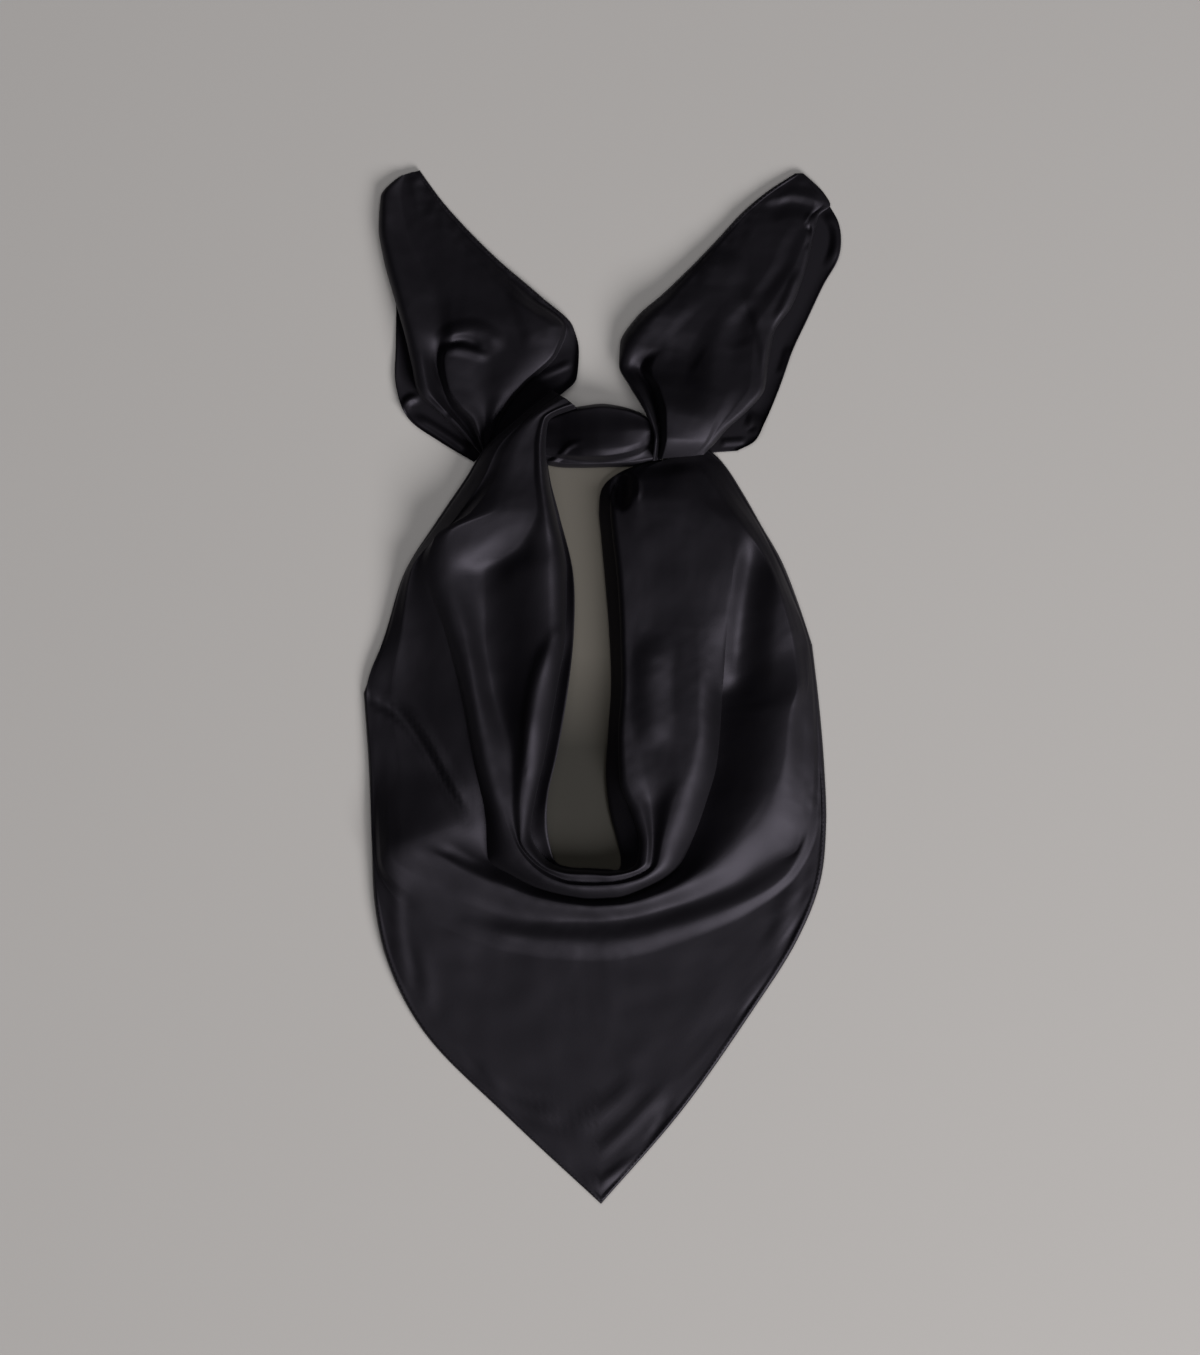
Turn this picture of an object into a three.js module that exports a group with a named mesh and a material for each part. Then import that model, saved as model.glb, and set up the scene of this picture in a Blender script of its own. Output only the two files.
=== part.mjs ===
// A black satin square, folded in two, gathered and tied, lying flat with its point towards -Y.
// Units are millimetres, +Z is up and the surface it lies on is z = 0.
// The tables give places on a chart of the tied scarf, x to the right and y downwards. One chart
// unit is UNIT millimetres. Heights and widths in the tables are millimetres.
import * as THREE from "three";

const TIED_LENGTH = 567.6;
const CHART_TOP = 171.5;
const CHART_BOTTOM = 1203.5;
const CHART_CENTRE = { x: 602, y: (CHART_TOP + CHART_BOTTOM) / 2 };
const UNIT = TIED_LENGTH / (CHART_BOTTOM - CHART_TOP);
const WALL = 1.2;
const PLY_GAP = 0.4;
const LEAST_WALL = 0.8;
const MOST_WALL = 3;
const SLOPE_STEP = 0.4;
const FLOOR_PLY = { bottom: 0, top: WALL };
const SATIN = new THREE.MeshStandardMaterial({ color: 0x151417, roughness: 0.42, metalness: 0 });

const place = ([x, y]) => [(x - CHART_CENTRE.x) * UNIT, (CHART_CENTRE.y - y) * UNIT];
const clamp = (value, low, high) => Math.min(Math.max(value, low), high);
const mix = (a, b, t) => a + (b - a) * t;
const smooth = (t) => {
  const s = clamp(t, 0, 1);
  return s * s * (3 - 2 * s);
};
// How far a rolled edge has fallen at a share t of its roll: 1 at the edge, 0 inside.
const rollFall = (t) => 1 - Math.sqrt(1 - (1 - clamp(t, 0, 1)) ** 2);

// A point of the centripetal Catmull-Rom curve through a list of points, at share t of span i.
// The curve may turn sharply at a corner, which is an index of the list.
function onCurve(points, i, t, corners = []) {
  const a = points[i];
  const b = points[i + 1];
  const before = i > 0 && !corners.includes(i) ? points[i - 1] : a.map((v, k) => 2 * v - b[k]);
  const follows = i + 2 < points.length && !corners.includes(i + 1);
  const after = follows ? points[i + 2] : b.map((v, k) => 2 * v - a[k]);
  const step = (p, q) => Math.max(Math.hypot(...p.map((v, k) => v - q[k])) ** 0.5, 1e-4);
  const [s0, s1, s2] = [step(before, a), step(a, b), step(b, after)];
  return a.map((v, k) => {
    const w = b[k];
    const leave = (v - before[k]) / s0 - (w - before[k]) / (s0 + s1) + (w - v) / s1;
    const arrive = (w - v) / s1 - (after[k] - v) / (s1 + s2) + (after[k] - w) / s2;
    const m0 = leave * s1;
    const m1 = arrive * s1;
    const c2 = -3 * v + 3 * w - 2 * m0 - m1;
    const c3 = 2 * v - 2 * w + m0 + m1;
    return v + m0 * t + c2 * t * t + c3 * t * t * t;
  });
}

// A fold is a ridge, or a valley where its height is below zero, along a curved path.
// left and right are its half widths to each side of the way the path runs, and crest says how
// round its top is, 2 for a round one and 1 for a sharp one. ends are the shares of the height
// that it keeps at its start and its end.
const PATH_STEPS = 6;
function prepare(fold) {
  const spans = fold.path.length - 1;
  const points = [];
  for (let i = 0; i < spans; i++)
    for (let j = 0; j < PATH_STEPS; j++)
      points.push(place(onCurve(fold.path, i, j / PATH_STEPS)));
  points.push(place(fold.path[spans]));
  return { ...fold, points };
}

function foldHeight(fold, x, y) {
  let nearest = Infinity;
  let side = 1;
  let along = 0;
  const last = fold.points.length - 1;
  for (let i = 0; i < last; i++) {
    const [ax, ay] = fold.points[i];
    const [bx, by] = fold.points[i + 1];
    const [dx, dy] = [bx - ax, by - ay];
    const t = clamp(((x - ax) * dx + (y - ay) * dy) / (dx * dx + dy * dy), 0, 1);
    const [ox, oy] = [x - ax - t * dx, y - ay - t * dy];
    const distance = Math.hypot(ox, oy);
    if (distance < nearest) {
      nearest = distance;
      side = dx * oy - dy * ox >= 0 ? 1 : -1;
      along = (i + t) / last;
    }
  }
  const share = nearest / (side > 0 ? fold.left : fold.right);
  if (share >= 1) return 0;
  const [from, to] = fold.ends ?? [0, 0];
  const lift = mix(from, 1, smooth(along / 0.25)) * mix(to, 1, smooth((1 - along) / 0.25));
  return fold.height * lift * (1 - share ** (fold.crest ?? 2)) ** 2;
}

const foldsHeight = (folds, x, y) => folds.reduce((sum, f) => sum + foldHeight(f, x, y), 0);

// The values of a table with an "at" column, between its rows, at station s.
function section(table, s) {
  let i = 0;
  while (i < table.length - 2 && s > table[i + 1].at) i++;
  const t = smooth((s - table[i].at) / (table[i + 1].at - table[i].at));
  const values = {};
  for (const key of Object.keys(table[i])) values[key] = mix(table[i][key], table[i + 1][key], t);
  return values;
}

// A closed solid from a list of rows. A row has an outer and an inner chain of points, which are
// as long as each other: the two faces of the cloth across the sheet.
function ribbon(name, rows) {
  const count = rows[0].outer.length;
  const vertices = [];
  for (const row of rows)
    for (const point of [...row.outer, ...row.inner]) vertices.push(...point);
  const faces = [];
  const outer = (r, c) => r * 2 * count + c;
  const inner = (r, c) => outer(r, c) + count;
  const apart = (a, b) => {
    const across = vertices[a * 3] - vertices[b * 3];
    const along = vertices[a * 3 + 1] - vertices[b * 3 + 1];
    return Math.hypot(across, along);
  };
  // Each four-sided face is cut along its shorter diagonal as seen from above.
  const quad = (a, b, c, d) => {
    if (apart(a, c) <= apart(b, d)) faces.push(a, b, c, a, c, d);
    else faces.push(a, b, d, b, c, d);
  };
  for (let r = 0; r + 1 < rows.length; r++) {
    for (let c = 0; c + 1 < count; c++) {
      quad(outer(r, c), outer(r, c + 1), outer(r + 1, c + 1), outer(r + 1, c));
      quad(inner(r, c), inner(r + 1, c), inner(r + 1, c + 1), inner(r, c + 1));
    }
    quad(outer(r, 0), outer(r + 1, 0), inner(r + 1, 0), inner(r, 0));
    quad(outer(r, count - 1), inner(r, count - 1), inner(r + 1, count - 1), outer(r + 1, count - 1));
  }
  const end = rows.length - 1;
  for (let c = 0; c + 1 < count; c++) {
    quad(outer(0, c), inner(0, c), inner(0, c + 1), outer(0, c + 1));
    quad(outer(end, c), outer(end, c + 1), inner(end, c + 1), inner(end, c));
  }
  return solid(name, vertices, faces);
}

// A mesh from vertices and faces, turned so that its faces point outwards.
function solid(name, vertices, faces) {
  let volume = 0;
  const at = (i) => new THREE.Vector3().fromArray(vertices, i * 3);
  for (let i = 0; i < faces.length; i += 3)
    volume += at(faces[i]).dot(at(faces[i + 1]).cross(at(faces[i + 2])));
  if (volume < 0)
    for (let i = 0; i < faces.length; i += 3) [faces[i + 1], faces[i + 2]] = [faces[i + 2], faces[i + 1]];
  const geometry = new THREE.BufferGeometry();
  geometry.setAttribute("position", new THREE.Float32BufferAttribute(vertices, 3));
  geometry.setIndex(faces);
  geometry.computeVertexNormals();
  const mesh = new THREE.Mesh(geometry, SATIN);
  mesh.name = name;
  return mesh;
}

// The body of the scarf

// Stations go round the neck opening from the left wrap, down and up to the right band. Each has a
// point on the neck edge, a point on the outside edge and the number of mesh rows that follow.
const BODY_STATIONS = [
  { neck: [557, 404], outside: [546, 396], rows: 1 },
  { neck: [549, 422], outside: [517, 420], rows: 2 },
  { neck: [547, 450], outside: [485, 450], rows: 2 },
  { neck: [550, 478], outside: [466, 479], rows: 3 },
  { neck: [560, 518], outside: [437, 521], rows: 3 },
  { neck: [573, 572], outside: [405, 572], rows: 3 },
  { neck: [574, 630], outside: [385, 635], rows: 3 },
  { neck: [568, 690], outside: [364, 693], rows: 3 },
  { neck: [557, 755], outside: [369, 765], rows: 3 },
  { neck: [548, 795], outside: [372, 840], rows: 2 },
  { neck: [547, 822], outside: [375, 905], rows: 2 },
  { neck: [550, 845], outside: [389, 965], rows: 2 },
  { neck: [556, 862], outside: [425, 1033], rows: 2 },
  { neck: [570, 867], outside: [507, 1116], rows: 3 },
  { neck: [590, 868], outside: [601, 1203], rows: 3 },
  { neck: [607, 869], outside: [682, 1110], rows: 2 },
  { neck: [619, 869], outside: [750, 1014], rows: 2 },
  { neck: [621, 860], outside: [797, 940], rows: 2 },
  { neck: [617, 840], outside: [820, 882], rows: 2 },
  { neck: [610, 812], outside: [826, 825], rows: 3 },
  { neck: [606, 775], outside: [824, 765], rows: 3 },
  { neck: [608, 735], outside: [819, 705], rows: 3 },
  { neck: [611, 685], outside: [812, 645], rows: 3 },
  { neck: [609, 630], outside: [797, 600], rows: 2 },
  { neck: [605, 580], outside: [781, 560], rows: 2 },
  { neck: [601, 535], outside: [762, 527], rows: 2 },
  { neck: [599, 510], outside: [745, 497], rows: 2 },
  { neck: [603, 487], outside: [728, 470], rows: 2 },
  { neck: [625, 470], outside: [717, 457], rows: 1 },
  { neck: [668, 459], outside: [704, 447], rows: 0 },
];
const LEFT_CORNER = 7;
const POINT = 14;
const RIGHT_CORNER = 22;
const BODY_CORNERS = [LEFT_CORNER, POINT, RIGHT_CORNER];

// Heights at some of the stations: at the foot of the neck edge, on top of it, in the middle and at
// the outside edge, and the widths over which the neck edge rises and the outside edge rolls down.
const BODY_SECTIONS = [
  { at: 0, foot: 14, neck: 22, middle: 20, edge: 13.5, rise: 4, roll: 4 },
  { at: 1, foot: 9, neck: 25, middle: 25, edge: 13.5, rise: 4, roll: 9 },
  { at: 2, foot: 5, neck: 26, middle: 26, edge: 13, rise: 5, roll: 11 },
  { at: 3, foot: 1.7, neck: 25, middle: 25, edge: 9, rise: 6, roll: 14 },
  { at: 4, foot: 1.7, neck: 22, middle: 22, edge: 3, rise: 7, roll: 18 },
  { at: 5, foot: 1.7, neck: 17, middle: 15, edge: 2, rise: 8, roll: 16 },
  { at: 7, foot: 1.7, neck: 17, middle: 12, edge: 2, rise: 7, roll: 10 },
  { at: 9, foot: 1.7, neck: 15, middle: 8, edge: 2, rise: 6, roll: 7 },
  { at: 12, foot: 1.7, neck: 14, middle: 4, edge: 1.9, rise: 5, roll: 4 },
  { at: 14, foot: 1.7, neck: 14, middle: 3.2, edge: 1.8, rise: 4, roll: 3 },
  { at: 17, foot: 1.7, neck: 14, middle: 4, edge: 1.9, rise: 6, roll: 4 },
  { at: 20, foot: 1.7, neck: 15, middle: 8, edge: 2, rise: 7, roll: 7 },
  { at: 22, foot: 1.7, neck: 17, middle: 12, edge: 2, rise: 7, roll: 9 },
  { at: 25, foot: 1.7, neck: 18, middle: 19, edge: 2, rise: 7, roll: 15 },
  { at: 27, foot: 1.7, neck: 14, middle: 16, edge: 3, rise: 5, roll: 12 },
  { at: 28, foot: 1.7, neck: 8, middle: 9, edge: 3, rise: 4, roll: 8 },
  { at: 29, foot: 1.7, neck: 6, middle: 7, edge: 3, rise: 3, roll: 5 },
];

const BODY_FOLDS = [
  { name: "neck edge, left", height: 5, left: 5, right: 11, ends: [1, 0.5],
    path: [[537, 412], [537, 470], [544, 535], [549, 600], [546, 650], [534, 695], [520, 745],
      [516, 800], [526, 848]] },
  { name: "rim", height: 10, left: 8, right: 7, crest: 1.5, ends: [0, 0],
    path: [[455, 570], [463, 630], [472, 690], [480, 750], [492, 795], [510, 832], [535, 862],
      [565, 878], [600, 882],
      [632, 873], [658, 847], [680, 805], [692, 755], [697, 700], [697, 630], [694, 560], [680, 500]] },
  { name: "trough, left", height: -5, left: 13, right: 7, crest: 1.7,
    path: [[470, 550], [488, 590], [488, 650], [494, 700], [508, 760], [514, 805], [526, 845]] },
  { name: "deep valley", height: -11, left: 6, right: 16, crest: 1.8, ends: [0.2, 0.2],
    path: [[461, 670], [466, 730], [478, 790], [498, 838], [530, 876], [565, 893], [602, 897],
      [640, 886], [674, 860],
      [704, 812], [720, 765], [728, 715], [733, 668]] },
  { name: "second pleat", height: 8.5, left: 14, right: 9, crest: 1.4, ends: [0.5, 0.6],
    path: [[376, 842], [420, 848], [462, 864], [505, 884], [550, 899], [600, 905], [645, 897],
      [692, 878], [735, 843],
      [765, 800], [780, 750], [786, 705], [797, 668], [810, 648]] },
  { name: "tuck under the second pleat", height: -3.5, left: 5, right: 8, crest: 1.2,
    path: [[440, 893], [480, 910], [530, 920], [590, 922], [650, 911], [705, 893], [755, 868], [800, 845]] },
  { name: "third pleat", height: 5.5, left: 9, right: 13, crest: 1.6,
    path: [[440, 905], [480, 928], [540, 939], [600, 939], [660, 929], [710, 914], [755, 893], [800, 865]] },
  { name: "left shoulder panel", height: 4, left: 12, right: 9, ends: [0.4, 0.4],
    path: [[425, 560], [402, 610], [385, 655], [370, 688]] },
  { name: "shadow side of the left panel", height: -4.5, left: 12, right: 12, ends: [0.3, 0.3],
    path: [[440, 590], [436, 640], [440, 700]] },
  { name: "corner crease, left", height: -3, left: 5, right: 4, crest: 1.2,
    path: [[366, 697], [395, 711], [418, 738], [445, 785], [470, 822]] },
  { name: "corner ridge, left", height: 4, left: 7, right: 9, crest: 1.5,
    path: [[368, 705], [392, 742], [428, 797], [472, 842], [515, 872]] },
  { name: "thin ridge, left", height: 3, left: 3.5, right: 3.5, crest: 1.4,
    path: [[396, 700], [424, 728], [448, 772], [474, 815]] },
  { name: "step below the left wrap", height: -6, left: 10, right: 10, ends: [0.6, 0.2],
    path: [[538, 548], [505, 551], [470, 566]] },
  { name: "right neck edge", height: 3, left: 5, right: 6, crest: 1.6,
    path: [[648, 862], [641, 835], [632, 803], [620, 775], [620, 720], [622, 650], [620, 590],
      [612, 530], [606, 515]] },
  { name: "hollow of the right band", height: -5, left: 13, right: 10, ends: [0.2, 0.2],
    path: [[650, 800], [655, 740], [665, 650], [668, 590], [660, 550]] },
  { name: "bulge in the right band", height: 3.5, left: 8, right: 9,
    path: [[668, 655], [662, 690], [652, 722]] },
  { name: "right shoulder, inner leg", height: 7, left: 4, right: 8, crest: 1.4, ends: [0.1, 0.5],
    path: [[757, 540], [738, 566], [728, 600], [724, 655]] },
  { name: "right shoulder, outer leg", height: 5, left: 6, right: 6, crest: 1.5, ends: [0.3, 0.3],
    path: [[812, 648], [793, 612], [778, 575], [760, 540]] },
  { name: "right shoulder hollow", height: -4, left: 7, right: 7,
    path: [[760, 560], [757, 600], [768, 630]] },
  { name: "lip over the deep valley", height: 4, left: 5, right: 6, crest: 1.3, ends: [0.4, 0.3],
    path: [[733, 652], [758, 640], [785, 643], [812, 647]] },
  { name: "pocket beside the knot", height: -9, left: 7, right: 7, crest: 2.4, ends: [0.7, 0.7],
    path: [[620, 481], [620, 500]] },
].map(prepare);

// The mesh columns run along the main pleats, with this many columns up to each one's line.
const PLEAT_LINES = [
  { fold: "rim", columns: 6 },
  { fold: "deep valley", columns: 3 },
  { fold: "second pleat", columns: 3 },
  { fold: "tuck under the second pleat", columns: 3 },
  { fold: "third pleat", columns: 2 },
];
const APRON_COLUMNS = 5;
const WHOLE_WIDTH_FOLDED = 100;
const LEAST_STEP = 0.012;
const LEAST_FOLDED_HEIGHT = 3.2;
// The lower ply reaches the outside edge, short of it by the inset, between two stations. It is a
// narrow strip before and after them, under the wraps, and widens over the fade.
const LOWER_PLY = { from: 2.4, to: 27.2, fade: 1.2, strip: 6, inset: 1, columns: 3 };

// The distance along a row, from the neck edge, at which it passes nearest to a fold's path.
function crossing(fold, at, width) {
  const SAMPLES = 80;
  let best = { gap: Infinity, distance: 0 };
  for (let k = 1; k < SAMPLES; k++) {
    const distance = (width * k) / SAMPLES;
    const [x, y] = at(distance);
    for (const [px, py] of fold.points) {
      const gap = Math.hypot(px - x, py - y);
      if (gap < best.gap) best = { gap, distance };
    }
  }
  return best.distance;
}

// Distances from the neck edge of the columns of a row, and the width that the pleats take up.
function columnDistances(width, at) {
  const spare = Math.max(width - WHOLE_WIDTH_FOLDED, 0);
  const zone = 0.9 * Math.min(width, WHOLE_WIDTH_FOLDED) - 0.42 * spare;
  const distances = [0];
  let from = 0;
  PLEAT_LINES.forEach(({ fold, columns }, i) => {
    const left = (PLEAT_LINES.length - i) * 3 * LEAST_STEP * width;
    const line = crossing(BODY_FOLDS.find(({ name }) => name === fold), at, width);
    const to = clamp(line, from + columns * LEAST_STEP * width, width - left);
    for (let c = 1; c <= columns; c++) distances.push(mix(from, to, c / columns));
    from = to;
  });
  for (let c = 1; c <= APRON_COLUMNS; c++) distances.push(mix(from, width, (c / APRON_COLUMNS) ** 1.3));
  return { distances, zone };
}

function bodyHeight(s, distance, width, zone, x, y) {
  const at = section(BODY_SECTIONS, s);
  const crown = mix(at.neck, at.middle, smooth((distance - 10) / Math.max(zone - 10, 12)));
  const inside = rollFall(distance / at.rise);
  const outside = rollFall((width - distance) / at.roll);
  const settle = smooth(distance / (at.rise * 0.8)) * (1 - outside);
  const folded = crown + foldsHeight(BODY_FOLDS, x, y) * settle;
  const top = Math.max(folded, Math.min(crown, LEAST_FOLDED_HEIGHT));
  const neckSide = mix(top, at.foot, inside);
  return mix(neckSide, at.edge, outside);
}

function bodyRow(i, t) {
  const s = i + t;
  const neck = place(onCurve(BODY_STATIONS.map((row) => row.neck), i, t));
  const outside = place(onCurve(BODY_STATIONS.map((row) => row.outside), i, t, BODY_CORNERS));
  const width = Math.hypot(outside[0] - neck[0], outside[1] - neck[1]);
  const across = [(outside[0] - neck[0]) / width, (outside[1] - neck[1]) / width];
  const at = (distance) => [neck[0] + across[0] * distance, neck[1] + across[1] * distance];
  const { distances, zone } = columnDistances(width, at);
  const floor = FLOOR_PLY.top + PLY_GAP;
  const heightAt = (distance) => bodyHeight(s, distance, width, zone, ...at(distance));
  const top = distances.map((d) => [...at(d), heightAt(d)]);
  const under = distances.map((d) => {
    const rise = heightAt(Math.min(d + SLOPE_STEP, width)) - heightAt(Math.max(d - SLOPE_STEP, 0));
    const wall = clamp(WALL * Math.hypot(1, rise / (2 * SLOPE_STEP)), WALL, MOST_WALL);
    return [...at(d), Math.max(heightAt(d) - wall, floor)];
  });
  const fold = Math.min(WALL, 0.6 * distances[1]);
  under[0] = [...at(fold), floor];
  const { from, to, fade, strip, inset } = LOWER_PLY;
  const whole = smooth((s - from) / fade) * (1 - smooth((s - to) / fade));
  const reach = mix(Math.min(width, strip), width - inset, whole);
  const lower = [];
  for (let c = 0; c <= LOWER_PLY.columns; c++) {
    const share = c / LOWER_PLY.columns;
    lower.push([at(mix(0, reach, share)), at(mix(fold, reach, share))]);
  }
  return {
    outer: [...top.reverse(), ...lower.map(([p]) => [...p, FLOOR_PLY.bottom])],
    inner: [...under.reverse(), ...lower.map(([, p]) => [...p, FLOOR_PLY.top])],
  };
}

function frontDrape() {
  const rows = [];
  BODY_STATIONS.forEach(({ rows: count }, i) => {
    for (let j = 0; j < count; j++) rows.push(bodyRow(i, j / count));
  });
  rows.push(bodyRow(BODY_STATIONS.length - 2, 1));
  return ribbon("front_drape", rows);
}

// A ply of a tail, from its tip to its root. Each station has a point on the left edge, a point on
// the right edge, the heights of both edges and of the middle, and the width of each rolled edge.
const TAIL_ROWS_EACH = 2;
function tailPly({ name, stations, folds, columns, floor }) {
  const values = stations.map((row) => [row.edges[0], row.middle, row.edges[1], ...row.rolls]);
  const rowAt = (i, t) => {
    const left = place(onCurve(stations.map((row) => row.left), i, t));
    const right = place(onCurve(stations.map((row) => row.right), i, t));
    const width = Math.hypot(right[0] - left[0], right[1] - left[1]);
    const between = values[i].map((v, k) => mix(v, values[i + 1][k], smooth(t)));
    const [leftEdge, middle, rightEdge, leftRoll, rightRoll] = between;
    const height = (share) => {
      const [x, y] = [mix(left[0], right[0], share), mix(left[1], right[1], share)];
      const leftFall = rollFall((share * width) / leftRoll);
      const rightFall = rollFall(((1 - share) * width) / rightRoll);
      const settle = (1 - leftFall) * (1 - rightFall);
      const crown = Math.max(middle + foldsHeight(folds, x, y) * settle, floor + LEAST_WALL);
      return mix(mix(crown, leftEdge, leftFall), rightEdge, rightFall);
    };
    const outer = [];
    const inner = [];
    for (let c = 0; c <= columns; c++) {
      const share = c / columns;
      const at = [mix(left[0], right[0], share), mix(left[1], right[1], share)];
      const step = SLOPE_STEP / width;
      const rise = height(Math.min(share + step, 1)) - height(Math.max(share - step, 0));
      const wall = clamp(WALL * Math.hypot(1, rise / (2 * SLOPE_STEP)), WALL, MOST_WALL);
      outer.push([...at, height(share)]);
      inner.push([...at, Math.max(height(share) - wall, floor)]);
    }
    return { outer, inner };
  };
  const rows = [];
  for (let i = 0; i + 1 < stations.length; i++)
    for (let j = 0; j < TAIL_ROWS_EACH; j++) rows.push(rowAt(i, j / TAIL_ROWS_EACH));
  rows.push(rowAt(stations.length - 2, 1));
  return ribbon(name, rows);
}

const LEFT_TAIL_STATIONS = [
  { left: [400, 177], right: [420, 171], edges: [2.6, 2.6], middle: 3.4, rolls: [3, 3] },
  { left: [381, 197], right: [441, 200], edges: [2.6, 2.6], middle: 4.5, rolls: [6, 3] },
  { left: [379, 228], right: [462, 224], edges: [2.6, 2.6], middle: 6, rolls: [7, 3] },
  { left: [384, 260], right: [497, 259], edges: [3, 2.6], middle: 8, rolls: [7, 4] },
  { left: [395, 300], right: [540, 296], edges: [5, 3], middle: 10, rolls: [6, 5] },
  { left: [405, 335], right: [573, 327], edges: [7, 3.5], middle: 12, rolls: [5, 6] },
  { left: [412, 365], right: [579, 352], edges: [8, 4], middle: 13, rolls: [5, 6] },
  { left: [418, 392], right: [577, 378], edges: [8, 4], middle: 13, rolls: [5, 6] },
  { left: [434, 409], right: [560, 396], edges: [7, 4], middle: 11, rolls: [5, 6] },
  { left: [458, 430], right: [526, 417], edges: [6, 5], middle: 8.5, rolls: [4, 4] },
  { left: [481, 455], right: [506, 441], edges: [6, 6], middle: 7.5, rolls: [3, 3] },
];
const LEFT_TAIL_FOLDS = [
  { name: "long ridge by the left edge", height: 3, left: 7, right: 5, ends: [0.3, 0.3],
    path: [[388, 196], [392, 240], [402, 290], [418, 345], [428, 380]] },
  { name: "drop towards the wrap", height: -9, left: 11, right: 20, ends: [0.5, 1],
    path: [[582, 358], [545, 385], [516, 412], [496, 440]] },
  { name: "ridge above the drop", height: 4, left: 14, right: 7, crest: 1.5, ends: [0.4, 0.6],
    path: [[560, 338], [532, 364], [508, 394], [490, 425]] },
  { name: "swirl, upper arc", height: 3.5, left: 4, right: 4, crest: 1.5,
    path: [[438, 352], [452, 337], [474, 331], [492, 340], [498, 356]] },
  { name: "swirl, eye", height: -3, left: 3, right: 3, crest: 1.6,
    path: [[444, 346], [462, 343], [482, 348]] },
  { name: "swirl, lower arc", height: 2.5, left: 3, right: 3, crest: 1.4,
    path: [[442, 352], [466, 353], [490, 361]] },
  { name: "deep crease from the swirl", height: -6, left: 4, right: 5, crest: 1.5, ends: [0.4, 0.3],
    path: [[441, 356], [437, 385], [450, 415]] },
  { name: "ridge beside the deep crease", height: 4, left: 6, right: 4, crest: 1.3, ends: [0.3, 0.6],
    path: [[446, 360], [449, 392], [464, 412], [480, 424], [482, 446]] },
  { name: "soft fold near the hem", height: 2, left: 8, right: 8,
    path: [[514, 285], [530, 320], [538, 350]] },
].map(prepare);

const LEFT_PLY_STATIONS = [
  { left: [404, 190], right: [424, 190], edges: [1.2, 1.2], middle: 1.2, rolls: [2, 2] },
  { left: [390, 240], right: [455, 240], edges: [1.2, 1.2], middle: 1.2, rolls: [2, 2] },
  { left: [396, 300], right: [520, 300], edges: [1.6, 1.2], middle: 1.2, rolls: [3, 2] },
  { left: [396, 345], right: [540, 345], edges: [2.2, 1.2], middle: 1.2, rolls: [5, 2] },
  { left: [396, 385], right: [540, 380], edges: [3.2, 1.2], middle: 1.2, rolls: [8, 2] },
  { left: [408, 418], right: [530, 405], edges: [4, 1.2], middle: 1.2, rolls: [9, 2] },
  { left: [440, 442], right: [515, 425], edges: [4, 1.2], middle: 1.2, rolls: [6, 2] },
  { left: [474, 462], right: [492, 446], edges: [3, 1.2], middle: 1.2, rolls: [3, 2] },
];

const RIGHT_TAIL_STATIONS = [
  { left: [795, 174], right: [803, 174], edges: [2.6, 2.6], middle: 3, rolls: [2, 2] },
  { left: [767, 192], right: [825, 197], edges: [2.6, 2.6], middle: 4.5, rolls: [3, 4] },
  { left: [742, 213], right: [830, 214], edges: [2.6, 4.5], middle: 6, rolls: [3, 4] },
  { left: [717, 240], right: [815, 236], edges: [2.6, 4.5], middle: 7.5, rolls: [4, 4] },
  { left: [692, 266], right: [805, 270], edges: [2.6, 5.5], middle: 9.5, rolls: [5, 5] },
  { left: [663, 294], right: [792, 306], edges: [2.6, 6], middle: 12, rolls: [7, 5] },
  { left: [636, 318], right: [774, 333], edges: [3, 7], middle: 14, rolls: [9, 6] },
  { left: [620, 344], right: [768, 362], edges: [4, 8], middle: 16, rolls: [9, 7] },
  { left: [619, 366], right: [764, 390], edges: [8, 10], middle: 18, rolls: [8, 9] },
  { left: [630, 389], right: [748, 411], edges: [14, 12], middle: 22, rolls: [6, 11] },
  { left: [645, 415], right: [726, 431], edges: [20, 13], middle: 27, rolls: [4, 11] },
  { left: [654, 440], right: [714, 445], edges: [20, 13], middle: 26, rolls: [3, 9] },
  { left: [652, 462], right: [703, 456], edges: [13.5, 13.5], middle: 14.5, rolls: [3, 5] },
];
const RIGHT_TAIL_FOLDS = [
  { name: "dark slit to the knot", height: -7, left: 4, right: 4, crest: 1.6, ends: [0.5, 0.3],
    path: [[629, 366], [644, 380], [653, 402], [658, 435], [656, 455]] },
  { name: "ridge beside the slit", height: 3, left: 6, right: 6, crest: 1.4,
    path: [[650, 368], [662, 395], [666, 430], [662, 456]] },
  { name: "hollow near the neck side", height: -4, left: 11, right: 9,
    path: [[640, 345], [672, 352], [684, 380]] },
  { name: "long soft fold", height: 3, left: 10, right: 5, crest: 1.6, ends: [0, 0.3],
    path: [[742, 285], [756, 322], [762, 358], [760, 392]] },
  { name: "hollow beside the soft fold", height: -3, left: 9, right: 7,
    path: [[738, 300], [736, 335], [742, 355]] },
  { name: "crescent at the tip", height: -1.8, left: 4, right: 5, crest: 1.5,
    path: [[762, 212], [790, 203], [826, 212]] },
  { name: "fold above the crescent", height: 1.5, left: 5, right: 4, crest: 1.5,
    path: [[765, 202], [798, 195], [828, 206]] },
  { name: "fold along the free edge", height: 2, left: 6, right: 5, crest: 1.4,
    path: [[806, 222], [800, 262], [786, 310], [770, 350]] },
].map(prepare);

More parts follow.
